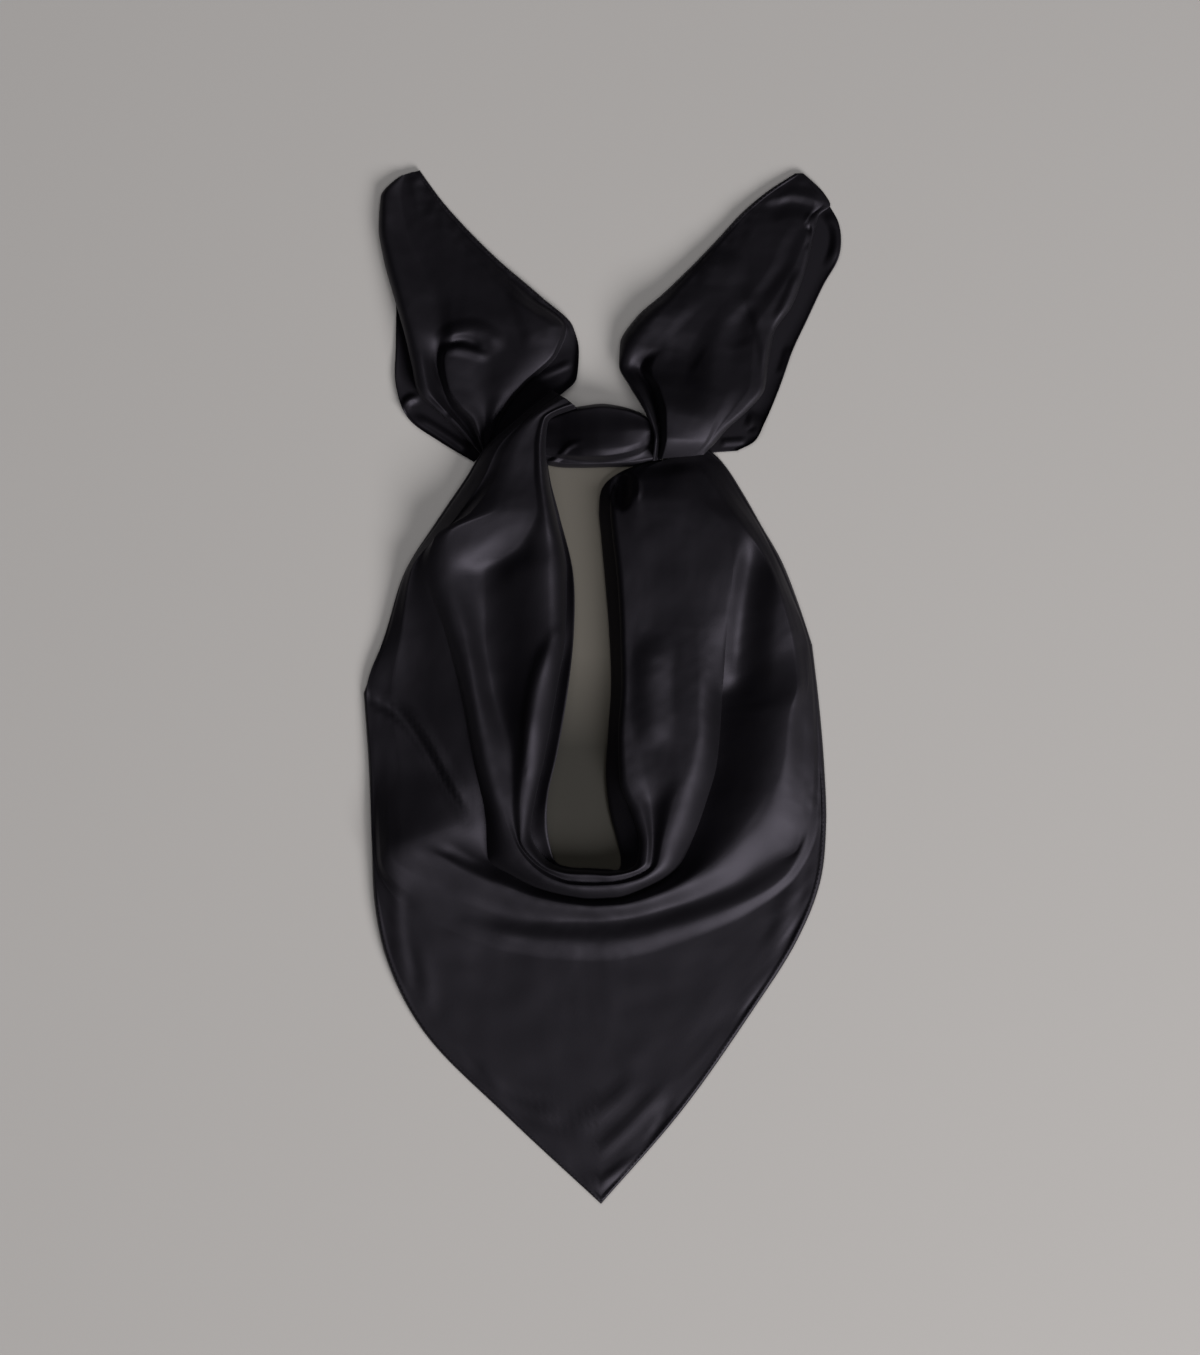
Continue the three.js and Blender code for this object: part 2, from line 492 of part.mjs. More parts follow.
const RIGHT_PLY_STATIONS = [
  { left: [785, 195], right: [822, 199], edges: [1.2, 1.2], middle: 1.2, rolls: [2, 2] },
  { left: [765, 225], right: [838, 226], edges: [1.2, 2.4], middle: 1.2, rolls: [2, 5] },
  { left: [745, 255], right: [838, 256], edges: [1.2, 3], middle: 1.2, rolls: [2, 8] },
  { left: [725, 288], right: [823, 286], edges: [1.2, 2.4], middle: 1.2, rolls: [2, 6] },
  { left: [712, 320], right: [807, 320], edges: [1.2, 2.4], middle: 1.2, rolls: [2, 6] },
  { left: [706, 350], right: [792, 352], edges: [1.2, 2.8], middle: 1.2, rolls: [2, 8] },
  { left: [706, 378], right: [783, 378], edges: [1.2, 2.8], middle: 1.2, rolls: [2, 8] },
  { left: [712, 402], right: [773, 404], edges: [1.2, 2.8], middle: 1.2, rolls: [2, 8] },
  { left: [722, 425], right: [764, 427], edges: [1.2, 4], middle: 1.6, rolls: [2, 9] },
  { left: [727, 447], right: [751, 446], edges: [2, 3.4], middle: 2, rolls: [2, 5] },
];

// The knot is the bundle of cloth that crosses from the left wrap to the right tail.
const KNOT_STATIONS = [
  { x: 548.8, back: 436, front: 460, top: 8 },
  { x: 560, back: 413, front: 467.5, top: 9 },
  { x: 572, back: 409, front: 468, top: 15 },
  { x: 585, back: 406, front: 468, top: 22 },
  { x: 602, back: 404, front: 467, top: 25 },
  { x: 622, back: 407, front: 466, top: 24 },
  { x: 638, back: 412, front: 464, top: 18 },
  { x: 650, back: 419, front: 456, top: 17 },
  { x: 660, back: 424, front: 440, top: 15 },
];
const KNOT_SIDES = 18;
const KNOT_BASE = 0.3;
const KNOT_ROUNDNESS = 0.8;

function knot() {
  const vertices = [];
  const faces = [];
  for (const { x, back, front, top } of KNOT_STATIONS) {
    const middle = (back + front) / 2;
    const half = (front - back) / 2;
    for (let k = 0; k < KNOT_SIDES; k++) {
      const angle = (2 * Math.PI * k) / KNOT_SIDES;
      const flatten = (v) => Math.sign(v) * Math.abs(v) ** KNOT_ROUNDNESS;
      const [px, py] = place([x, middle - half * flatten(Math.cos(angle))]);
      const share = (flatten(Math.sin(angle)) + 1) / 2;
      vertices.push(px, py, mix(KNOT_BASE, top, share));
    }
  }
  const last = KNOT_STATIONS.length - 1;
  for (let r = 0; r < last; r++)
    for (let k = 0; k < KNOT_SIDES; k++) {
      const a = r * KNOT_SIDES + k;
      const b = r * KNOT_SIDES + ((k + 1) % KNOT_SIDES);
      faces.push(a, b, b + KNOT_SIDES, a, b + KNOT_SIDES, a + KNOT_SIDES);
    }
  for (let k = 1; k + 1 < KNOT_SIDES; k++) {
    faces.push(0, k + 1, k);
    faces.push(last * KNOT_SIDES, last * KNOT_SIDES + k, last * KNOT_SIDES + k + 1);
  }
  return solid("knot", vertices, faces);
}

const OVER_PLY = FLOOR_PLY.top + PLY_GAP;
const TAIL_PLIES = [
  { name: "left_tail", stations: LEFT_TAIL_STATIONS, folds: LEFT_TAIL_FOLDS, columns: 16, floor: OVER_PLY },
  { name: "left_tail_ply", stations: LEFT_PLY_STATIONS, folds: [], columns: 6, floor: FLOOR_PLY.bottom },
  { name: "right_tail", stations: RIGHT_TAIL_STATIONS, folds: RIGHT_TAIL_FOLDS, columns: 16, floor: OVER_PLY },
  { name: "right_tail_ply", stations: RIGHT_PLY_STATIONS, folds: [], columns: 6, floor: FLOOR_PLY.bottom },
];

const scarf = new THREE.Group();
scarf.add(frontDrape(), knot(), ...TAIL_PLIES.map(tailPly));

export default scarf;
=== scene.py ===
import bpy
import numpy as np
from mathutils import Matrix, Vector, noise


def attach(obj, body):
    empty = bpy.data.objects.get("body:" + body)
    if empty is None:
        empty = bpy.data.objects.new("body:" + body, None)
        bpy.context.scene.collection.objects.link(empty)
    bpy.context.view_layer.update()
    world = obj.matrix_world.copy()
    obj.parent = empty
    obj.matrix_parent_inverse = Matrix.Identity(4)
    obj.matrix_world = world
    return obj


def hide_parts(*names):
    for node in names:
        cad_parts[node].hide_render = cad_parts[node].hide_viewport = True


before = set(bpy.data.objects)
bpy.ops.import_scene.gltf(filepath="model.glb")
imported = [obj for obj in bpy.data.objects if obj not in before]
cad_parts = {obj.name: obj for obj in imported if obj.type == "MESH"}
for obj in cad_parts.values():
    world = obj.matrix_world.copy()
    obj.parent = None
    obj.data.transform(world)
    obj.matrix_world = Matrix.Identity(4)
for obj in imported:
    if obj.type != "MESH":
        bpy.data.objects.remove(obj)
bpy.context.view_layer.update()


# The body of the scarf
# Left band, cowl, hanging point and right band are one stretch of a hemmed black satin square, folded
# over at the neck edge. The upper ply is gathered into U-shaped pleats that run from one band round to
# the other, and the lower ply lies flat on the surface.

# The stations along the body, from the left wrap round the hanging point to the right wrap. A place is
# on a chart of the tied scarf, x to the right and y downwards. Its outline turns sharply at the corners.
BODY_STATIONS = [
    dict(neck=(577, 410), outside=(551, 391), rows=2),
    dict(neck=(549, 422), outside=(517, 420), rows=2),
    dict(neck=(547, 450), outside=(485, 450), rows=2),
    dict(neck=(550, 478), outside=(466, 479), rows=3),
    dict(neck=(560, 518), outside=(437, 521), rows=3),
    dict(neck=(573, 572), outside=(405, 572), rows=3),
    dict(neck=(574, 630), outside=(385, 635), rows=3),
    dict(neck=(568, 690), outside=(364, 693), rows=3),
    dict(neck=(557, 755), outside=(369, 765), rows=3),
    dict(neck=(548, 795), outside=(372, 840), rows=2),
    dict(neck=(547, 822), outside=(375, 905), rows=2),
    dict(neck=(550, 845), outside=(389, 965), rows=2),
    dict(neck=(556, 862), outside=(425, 1033), rows=2),
    dict(neck=(570, 867), outside=(507, 1116), rows=3),
    dict(neck=(590, 868), outside=(601, 1203.5), rows=3),
    dict(neck=(607, 869), outside=(682, 1110), rows=2),
    dict(neck=(619, 869), outside=(750, 1014), rows=2),
    dict(neck=(621, 860), outside=(797, 940), rows=2),
    dict(neck=(617, 840), outside=(820, 882), rows=2),
    dict(neck=(610, 812), outside=(826, 825), rows=3),
    dict(neck=(606, 775), outside=(824, 765), rows=3),
    dict(neck=(608, 735), outside=(819, 705), rows=4),
    dict(neck=(611, 685), outside=(812, 645), rows=5),
    dict(neck=(609, 630), outside=(797, 600), rows=2),
    dict(neck=(605, 580), outside=(781, 560), rows=2),
    dict(neck=(601, 535), outside=(762, 527), rows=2),
    dict(neck=(599, 510), outside=(745, 497), rows=2),
    dict(neck=(603, 487), outside=(728, 470), rows=2),
    dict(neck=(625, 470), outside=(717, 457), rows=1),
    dict(neck=(668, 459), outside=(704, 447), rows=0),
]
LEFT_CORNER, POINT, RIGHT_CORNER = 7, 14, 22
BODY_CORNERS = (LEFT_CORNER, POINT, RIGHT_CORNER)

# Crest and valley lines of the pleats, from the neck edge to the hem. Each row of a table is the
# station it stands at, its place on the chart and its height in millimetres.
PLEATS = [
    ("groove at the neck edge", 5, "ease", [
        (0, 575.5, 409, 20), (1, 548.5, 421.9, 12), (2, 546, 450, 8), (3, 549, 478, 4), (4, 557, 518, 3),
        (5, 567, 572, 2.6), (6, 566, 630, 6), (7, 557, 690, 9), (8, 545, 756, 9), (9, 535.5, 799, 8),
        (10, 531, 830, 7), (11, 540, 851.5, 5), (12, 554, 864, 4), (13, 570, 869, 5), (14, 590, 870, 5),
        (15, 607.5, 871, 5), (16, 624, 870, 7), (17, 637, 860.5, 10), (18, 639, 840, 10),
        (19, 631, 812, 10), (20, 619, 777, 10.5), (21, 618, 734, 11), (22, 621, 685, 11),
        (23, 620, 630, 11.3), (24, 617, 580, 11.5), (25, 612, 534, 11), (26, 610, 509, 9.5),
        (27, 614, 486.5, 7), (28, 632, 469.5, 5), (29, 670, 458.5, 4)]),
    ("neck crest", 12, "roll up", [
        (0, 573, 407, 25), (1, 545, 421, 25), (2, 540, 450, 25), (3, 541, 478, 24.5), (4, 545, 514, 24.5),
        (5, 548, 572, 22), (6, 548, 631, 20), (7, 538, 690, 20), (8, 527, 757, 18.5), (9, 521, 803, 17),
        (10, 521, 836, 16), (11, 534, 857, 15.5), (12, 550, 868, 15), (13, 571, 873, 15),
        (14, 590.5, 873.5, 15), (15, 608, 874.5, 15), (16, 630, 871, 15), (17, 645, 861, 15),
        (18, 647, 840, 15), (19, 641, 812, 15), (20, 627, 778, 15.5), (21, 625, 733, 16),
        (22, 627, 685, 16), (23, 626, 630, 16.5), (24, 624, 580, 17), (25, 619, 533, 16),
        (26, 617, 508, 14), (27, 622, 486, 10), (28, 637, 469, 7), (29, 672, 458, 6.5)]),
    ("trough", 14, "ease", [
        (0, 570, 404.5, 24.5), (1, 541, 421, 24.2), (2, 534, 450, 23.6), (3, 534, 478, 23),
        (4, 537, 512, 23.6), (4.5, 520, 545, 20), (5, 487, 572, 12.5), (6, 487, 632, 11), (7, 495, 690, 11),
        (8, 512, 757, 14), (9, 513, 806, 15.2), (10, 518, 839, 14.6), (11, 534, 861, 13.5),
        (12, 552, 873, 13.2), (13, 572, 880, 13), (14, 591, 881, 13), (15, 610, 881, 13),
        (16, 634, 875, 13), (17, 651, 863, 13), (18, 653, 838, 12), (19, 652, 807, 12), (20, 645, 772, 15),
        (21, 640, 730, 15.8), (22, 640, 682, 16), (23, 645, 626, 16.4), (24, 650, 577, 17),
        (25, 640, 532, 17), (26, 640, 505, 17), (27, 640, 484, 13), (28, 650, 467, 8), (29, 676, 457, 7)]),
    ("rim", 16, "ease", [
        (0, 566, 401.5, 24.5), (1, 536, 421, 24.5), (2, 520, 450, 23.6), (3, 515, 479, 23),
        (4, 500, 511, 24.5), (4.5, 452, 535, 21.4), (5, 446, 572, 20), (6, 463, 632, 19.4),
        (7, 475, 691, 19), (8, 488, 758, 18.5), (9, 502, 808, 16.8), (10, 517, 845, 16),
        (11, 533, 865, 15.5), (12, 552, 878, 15), (13, 572, 883.5, 15), (14, 591, 884.5, 15),
        (15, 612, 883.5, 15), (16, 638, 878, 15), (17, 657, 864, 15), (18, 664, 835, 15.5),
        (19, 674, 798, 16.5), (20, 688, 763, 17), (21, 696, 720, 17.5), (22, 696, 665, 18),
        (23, 694, 615, 18), (24, 688, 570, 18.5), (25, 680, 530, 18), (26, 670, 503, 17),
        (27, 662, 480, 13), (28, 663, 465, 8), (29, 680, 456, 7)]),
    ("deep valley", 18, "brow", [
        (0, 562, 399, 22.5), (1, 531, 421, 24), (2, 508, 450, 22.6), (3, 497, 479, 21.5), (4, 472, 514, 22),
        (4.5, 436, 539, 19), (5, 428, 572, 17), (6, 446, 633, 15), (7, 461, 692, 12.5), (8, 474, 760, 11.5),
        (9, 486, 818, 6.5), (10, 488, 857, 3), (11, 514, 876, 3.2), (12, 541, 889, 3.6), (13, 570, 896, 4),
        (14, 592, 899, 4), (15, 616, 898, 4), (16, 648, 887, 3.6), (17, 677, 868, 3.2), (18, 693, 838, 3),
        (19, 706, 802, 3), (20, 717, 762, 3), (21, 721, 717, 3), (21.6, 722, 696, 3.6), (22.1, 723, 680, 8),
        (22.6, 725, 645, 13), (23, 728, 611, 16.6), (24, 732, 566, 18), (25, 724, 528.5, 17.3),
        (26, 700, 500, 15.5), (27, 684, 476, 12.5), (28, 678, 463, 8), (29, 685, 454, 7)]),
    ("second crest", 18, "early", [
        (0, 559, 397, 21), (1, 527, 421, 22.5), (2, 499, 450, 21), (3, 485, 479, 19), (4, 458, 518, 16.5),
        (5, 412, 572, 13), (6, 402, 634, 10), (7, 392, 693, 5.2), (8, 400, 763, 6), (9, 408, 842, 15.5),
        (10, 453, 860, 13.5), (11, 497, 882, 11), (12, 533, 896, 9.8), (13, 566, 903, 9.5),
        (14, 593, 905.5, 9.5), (15, 620, 904, 9.8), (16, 662, 892, 10.3), (17, 706, 868, 11),
        (18, 739, 836, 12.5), (19, 766, 800, 15.5), (20, 781, 762, 17.5), (21, 787, 712, 18.5),
        (21.6, 795, 684, 17), (22, 792, 655, 15.5), (22.5, 788, 632, 17.2), (23, 780, 602.8, 18.4),
        (24, 765, 562.5, 18.4), (25, 741, 528, 17), (26, 720, 499, 13.5), (27, 703, 474, 11),
        (28, 692, 461, 8), (29, 690, 453, 7)]),
    ("tuck", 14, "ease", [
        (0, 556.5, 395, 18), (1, 523, 420.5, 20), (2, 493, 450, 19), (3, 478, 479, 16), (4, 450, 519, 13),
        (5, 409, 572, 10.5), (6, 396, 634, 8.6), (7, 381, 693, 4.6), (8, 388, 764, 5.6),
        (9, 390, 848, 13.6), (10, 428, 880, 9.5), (11, 475, 906, 6.5), (12, 520, 919, 4.8),
        (13, 560, 922, 4.8), (14, 594, 922, 4.8), (15, 627, 919, 4.8), (16, 675, 907, 4.8),
        (17, 728, 888, 5), (18, 774, 861, 6), (18.5, 797, 848, 6.5), (19, 800, 816, 9),
        (20, 803, 764, 11.5), (21, 804, 709, 12.5), (21.6, 807, 680, 11.5), (22, 803, 650, 10.6),
        (22.5, 796, 629.5, 13.5), (23, 787, 601.8, 15), (24, 770, 561.8, 15.4), (25, 751, 528, 14),
        (26, 730, 498, 10.5), (27, 713, 472, 8.5), (28, 702, 459, 7), (29, 695, 451, 6)]),
    ("third crest", 12, "ease", [
        (0, 554, 393, 16), (1, 520, 420, 17), (2, 488.5, 450, 16), (3, 471, 479, 12.5), (4, 443, 520, 9.5),
        (5, 407, 572, 8.4), (6, 390, 634, 7), (7, 373, 693, 4.4), (8, 379, 765, 5.2), (9, 382, 856, 11),
        (10, 414, 894, 8), (11, 463, 920, 6.6), (12, 512, 935, 6.8), (13, 556, 940, 6.8),
        (14, 595, 941, 6.8), (15, 632, 937, 6.8), (16, 686, 922, 6.8), (17, 742, 901, 6.8),
        (18, 788, 870, 7), (19, 809, 819, 7), (20, 813, 765, 8.4), (21, 812, 707, 9), (22, 807, 648, 8.5),
        (22.6, 801, 624, 9.5), (23, 791, 601, 11.5), (24, 774, 561.2, 12.4), (25, 757, 527, 10),
        (26, 738, 497.5, 7), (27, 722, 471, 6), (28, 710, 458, 5), (29, 699, 449, 5)]),
    ("flat", 14, "ease", [
        (0, 552, 391.8, 14.5), (1, 518, 420, 14.5), (2, 486, 450, 14), (3, 468, 479, 10),
        (4, 439, 521, 6.5), (5, 406, 572, 6), (6, 386, 635, 5.4), (7, 367, 693, 4.2), (8, 372, 765, 5),
        (9, 377, 862, 7), (10, 404, 905, 6.4), (11, 453, 933, 5.6), (12, 506, 952, 4.5),
        (13, 553, 960, 4.5), (14, 596, 962, 4.5), (15, 636, 957, 4.5), (16, 694, 939, 4.5),
        (17, 751, 913, 4.5), (18, 798, 875, 4.5), (19, 819, 823, 4.5), (20, 819, 765, 5.5),
        (21, 816, 706, 6), (22, 810, 646.5, 6), (23, 794.5, 600.4, 7.5), (24, 777.5, 560.5, 8.5),
        (25, 760.5, 527, 7), (26, 743, 497, 5), (27, 726.5, 470, 4.5), (28, 715, 457, 4),
        (29, 702.5, 447.5, 4)]),
]

# The groove and the deep valley are sharp creases: their lines, counted from the foot of the neck edge.
BODY_CREASES = (1, 5)

# Columns of mesh between the last line and the outer edge.
HEM_COLUMNS = 34

# Heights of the outer edge and of the foot of the neck edge, by station.
HEM_EDGE = [
    (0, 13.5), (1, 13.5), (2, 13), (3, 8), (4, 3), (5, 2), (7, 2), (9, 2), (12, 1.9), (14, 1.8),
    (17, 1.9), (20, 2), (22, 2), (25, 2), (29, 3),
]
NECK_FOOT = [
    (0, 18), (1, 9), (2, 5), (3, 1.9), (6, 7), (7, 12), (9, 12), (10, 10), (12, 4.4), (13, 2.2),
    (17, 1.9), (29, 1.9),
]

# One chart unit is UNIT millimetres, and the surface that the scarf lies on is z = 0.
TIED_LENGTH = 567.6
CHART_TOP, CHART_BOTTOM = 171.5, 1203.5
CHART_CENTRE = np.array([602.0, (CHART_TOP + CHART_BOTTOM) / 2])
UNIT = TIED_LENGTH / (CHART_BOTTOM - CHART_TOP)
MILLIMETRE = 0.001


def place(points):
    """Chart points in millimetres, with +Y up the chart."""
    return (np.asarray(points, float) - CHART_CENTRE) * [UNIT, -UNIT]


def mix(a, b, t):
    return a + (b - a) * t


def smooth(t):
    s = np.clip(t, 0, 1)
    return s * s * (3 - 2 * s)


def on_curve(points, i, t, corners=()):
    """A point of the centripetal Catmull-Rom curve through points, at share t of span i."""
    a, b = np.asarray(points[i], float), np.asarray(points[i + 1], float)
    before = np.asarray(points[i - 1], float) if i > 0 and i not in corners else 2 * a - b
    follows = i + 2 < len(points) and i + 1 not in corners
    after = np.asarray(points[i + 2], float) if follows else 2 * b - a

    def step(p, q):
        return max(np.linalg.norm(p - q) ** 0.5, 1e-4)

    s0, s1, s2 = step(before, a), step(a, b), step(b, after)
    leave = ((a - before) / s0 - (b - before) / (s0 + s1) + (b - a) / s1) * s1
    arrive = ((b - a) / s1 - (after - a) / (s1 + s2) + (after - b) / s2) * s1
    c2 = -3 * a + 3 * b - 2 * leave - arrive
    c3 = 2 * a - 2 * b + leave + arrive
    return a + leave * t + c2 * t**2 + c3 * t**3


# Straight steps in each span of a fold's path, and the share of the path over which an end fades.
PATH_STEPS = 6
FADING_SHARE = 0.25


def fold(name, height, left, right, path, crest=2.0, ends=(0.0, 0.0)):
    """A ridge, or a valley where its height is below zero, along a curved path."""
    line = [on_curve(path, i, j / PATH_STEPS) for i in range(len(path) - 1) for j in range(PATH_STEPS)]
    return {
        "name": name, "height": height, "left": left, "right": right, "crest": crest, "ends": ends,
        "points": place(line + [path[-1]]),
    }


BODY_FOLDS = [
    fold("bulge in the right band", 3.0, 13, 12, path=[(654, 630), (650, 690), (654, 752)]),
    fold("pocket beside the knot", -8, 7, 6, crest=2.4, ends=(0.7, 0.7), path=[(620, 482), (620, 500)]),
    fold("rim of the pocket", 2, 2.5, 3, crest=1.5, path=[(622, 474), (634, 476), (639, 488), (636, 504)]),
    fold("hollow of the shoulder", -5.2, 18, 10, path=[
        (760, 526), (751, 566), (745, 604), (740, 652), (742, 700)]),
    fold("pocket in the left band", -2.2, 14, 12, ends=(0.5, 0.3), path=[(536, 544), (508, 551), (486, 574)]),
    fold("second turn of the left band", 2.6, 11, 5, ends=(0.4, 0.3), path=[
        (555, 636), (541, 668), (531, 710), (527, 762)]),
    fold("corner crease, left", -3.2, 5, 4, crest=1.5, ends=(0.5, 0.2), path=[
        (367, 697), (398, 714), (422, 745), (445, 785), (468, 822)]),
    fold("thin ridge, left", 2.2, 3.5, 4, crest=1.7, path=[(398, 700), (424, 728), (448, 772), (474, 815)]),
    fold("wave at the left hem", 0.9, 5, 7, ends=(0.2, 0.2), path=[(398, 880), (399, 930), (408, 985)]),
    fold("second wave at the left hem", 0.6, 5, 7, ends=(0.2, 0.2), path=[
        (420, 940), (428, 985), (425, 1020)]),
    fold("wave at the right hem", 0.8, 7, 7, ends=(0.3, 0.2), path=[(792, 880), (783, 920), (770, 950)]),
    fold("dip near the left hem", -0.9, 5, 7, ends=(0.4, 0.2), path=[(502, 1083), (520, 1097), (552, 1101)]),
    fold("streak below the dip", -0.6, 3.5, 5, ends=(0.3, 0.2), path=[(512, 1105), (545, 1122), (578, 1126)]),
    fold("wave above the point", 0.7, 5, 8, ends=(0.2, 0.2), path=[(566, 1128), (600, 1110), (640, 1075)]),
    fold("second wave above the point", 0.8, 4, 7, ends=(0.2, 0.3), path=[
        (590, 1158), (630, 1122), (664, 1086)]),
    fold("pucker at the left hem", -0.8, 3, 3, path=[(462, 1052), (473, 1062), (484, 1082)]),
    fold("pucker at the right hem", -0.8, 3, 3, path=[(742, 1012), (752, 1004), (758, 990)]),
    fold("upper pucker at the right hem", -0.7, 3, 3, path=[(782, 942), (792, 932), (800, 915)]),
    fold("lower pucker at the right hem", -0.7, 3, 4, path=[(648, 1142), (662, 1118), (668, 1096)]),
    fold("folded corner", 0.9, 3, 4, ends=(0.5, 0.3), path=[(592, 1187), (608, 1176), (632, 1158)]),
    fold("crease by the corner", -0.7, 2.5, 3, ends=(0.4, 0.4), path=[(598, 1194), (614, 1184), (630, 1172)]),
    fold("second crease, left", -1.6, 5, 4, ends=(0.2, 0.2), path=[(436, 845), (470, 864), (505, 880)]),
]


def fold_height(line, x, y):
    """The height that one fold adds at the points x, y."""
    points = line["points"]
    reach = max(line["left"], line["right"])
    low, high = points.min(axis=0) - reach, points.max(axis=0) + reach
    near = (x > low[0]) & (x < high[0]) & (y > low[1]) & (y < high[1])
    added = np.zeros_like(x)
    if not near.any():
        return added
    start, run = points[:-1], points[1:] - points[:-1]
    off = np.stack([x[near], y[near]], axis=-1)[:, None, :] - start[None]
    t = np.clip((off * run).sum(-1) / (run * run).sum(-1), 0, 1)
    away = off - t[..., None] * run
    distance = np.hypot(away[..., 0], away[..., 1])
    best = distance.argmin(axis=1)
    rows = np.arange(len(best))
    turn = run[best, 0] * away[rows, best, 1] - run[best, 1] * away[rows, best, 0]
    along = (best + t[rows, best]) / len(run)
    share = distance[rows, best] / np.where(turn >= 0, line["left"], line["right"])
    start_share, end_share = line["ends"]
    rise, fall = smooth(along / FADING_SHARE), smooth((1 - along) / FADING_SHARE)
    lift = mix(start_share, 1, rise) * mix(end_share, 1, fall)
    bump = np.where(share < 1, (1 - np.minimum(share, 1) ** line["crest"]) ** 2, 0)
    added[near] = line["height"] * lift * bump
    return added


def folds_height(folds, x, y):
    flat_x, flat_y = x.ravel(), y.ravel()
    return sum(fold_height(line, flat_x, flat_y) for line in folds).reshape(x.shape)


def between(stops, values, s):
    """Values given at increasing stops, on smooth curves that never pass beyond them, at the places s."""
    stops, values = np.asarray(stops, float), np.asarray(values, float)
    run = np.diff(stops)[:, None]
    slopes = np.diff(values, axis=0) / run
    level = slopes[:-1] * slopes[1:] <= 0
    tangents = np.where(level, 0, 2 * slopes[:-1] * slopes[1:] / np.where(level, 1, slopes[:-1] + slopes[1:]))
    tangents = np.concatenate([slopes[:1] * 0, tangents, slopes[-1:] * 0])
    i = np.clip(np.searchsorted(stops, s, side="right") - 1, 0, len(stops) - 2)
    h = run[i]
    t = ((s - stops[i]) / h[:, 0])[:, None]
    a, b, m0, m1 = values[i], values[i + 1], tangents[i] * h, tangents[i + 1] * h
    return a + m0 * t + (3 * (b - a) - 2 * m0 - m1) * t**2 + (2 * (a - b) + m0 + m1) * t**3


def traced(table, s):
    """A line of points from the rows of a table: station, place on the chart and height."""
    values = between([row[0] for row in table], [row[1:] for row in table], s)
    return np.concatenate([place(values[:, :2]), values[:, 2:]], axis=1)


def roll_fall(t):
    """How far a rolled edge has fallen at a share t of its roll: 1 at the edge, 0 inside."""
    return 1 - np.sqrt(np.maximum(1 - (1 - np.clip(t, 0, 1)) ** 2, 0))


# How the columns crowd towards an edge that rolls, and how a crest rises or a brow falls away.
ROLL_UP_CROWDING = 1.5
ROLL_DOWN_CROWDING = 1.7
ROLL_DOWN_LEAN = 0.25
EARLY_RISE = 1.15
BROW_RISE = 2.2
LEAST_SPAN = 0.05


def surface(lines, counts, kinds, roll):
    """A grid of points across lines of points: level on a crest or a valley, steep in between."""
    widths = [np.linalg.norm(b[:, :2] - a[:, :2], axis=1) for a, b in zip(lines, lines[1:])]
    spans = [np.maximum(width, LEAST_SPAN) for width in widths]
    slopes = np.array([(b[:, 2] - a[:, 2]) / span for a, b, span in zip(lines, lines[1:], spans)])
    turns = slopes[:-1] * slopes[1:] <= 0
    lean = 2 * slopes[:-1] * slopes[1:] / np.where(turns, 1, slopes[:-1] + slopes[1:])
    lean = np.concatenate([slopes[:1], np.where(turns, 0, lean), slopes[-1:]])
    lean[[i + 1 for i, kind in enumerate(kinds) if kind == "roll up"]] = 0
    lean[[i for i, kind in enumerate(kinds) if kind == "roll down"]] = 0
    columns = [lines[0][:, None, :]]
    for i, (start, end, count, kind) in enumerate(zip(lines[:-1], lines[1:], counts, kinds)):
        t = (np.arange(1, count + 1) / count)[None, :]
        if kind == "roll up":
            t = t**ROLL_UP_CROWDING
            rise = 1 - roll_fall(t)
        elif kind == "roll down":
            run = np.linalg.norm(end[:, :2] - start[:, :2], axis=1)[:, None]
            t = 1 - (1 - t) ** ROLL_DOWN_CROWDING
            fallen = roll_fall((1 - t) * run / np.minimum(run, roll))
            rise = ROLL_DOWN_LEAN * t + (1 - ROLL_DOWN_LEAN) * fallen
        elif kind == "early":
            rise = np.sin(t * np.pi / 2) ** EARLY_RISE
        elif kind == "brow":
            rise = t**BROW_RISE
        else:
            rise = smooth(t)
        flat = mix(start[:, None, :2], end[:, None, :2], t[..., None])
        height = mix(start[:, 2:], end[:, 2:], rise)
        if kind == "ease":
            leave, arrive = lean[i][:, None] * spans[i][:, None], lean[i + 1][:, None] * spans[i][:, None]
            height = height + leave * (t - 2 * t**2 + t**3) + arrive * (t**3 - t**2)
        columns.append(np.concatenate([flat, height[..., None]], axis=-1))
    return np.concatenate(columns, axis=1)


def crinkle(x, y, size, seed):
    """Gentle unevenness of the cloth, from -1 to 1, over about size millimetres."""
    points = zip((x / size).ravel(), (y / size).ravel())
    return np.array([noise.noise(Vector((px, py, seed))) for px, py in points]).reshape(x.shape)


# The cloth is thicker than real satin, so that each ply is a solid wall.
WALL = 1.2
MOST_WALL = 3.0
LEAST_PLY = 0.3
PLY_GAP = 0.4
FLOOR_PLY_TOP = WALL


def under_of(top, floor):
    """The under face below a top face, a wall's thickness away however steep the slope is."""
    across = np.hypot(*np.moveaxis(np.gradient(top[..., :2], axis=1), -1, 0))
    slope = np.abs(np.gradient(top[..., 2], axis=1)) / np.maximum(across, 1e-6)
    wall = np.clip(WALL * np.hypot(1, slope), WALL, MOST_WALL)
    under = top.copy()
    under[..., 2] = np.maximum(top[..., 2] - wall, np.minimum(floor, top[..., 2] - LEAST_PLY))
    return under


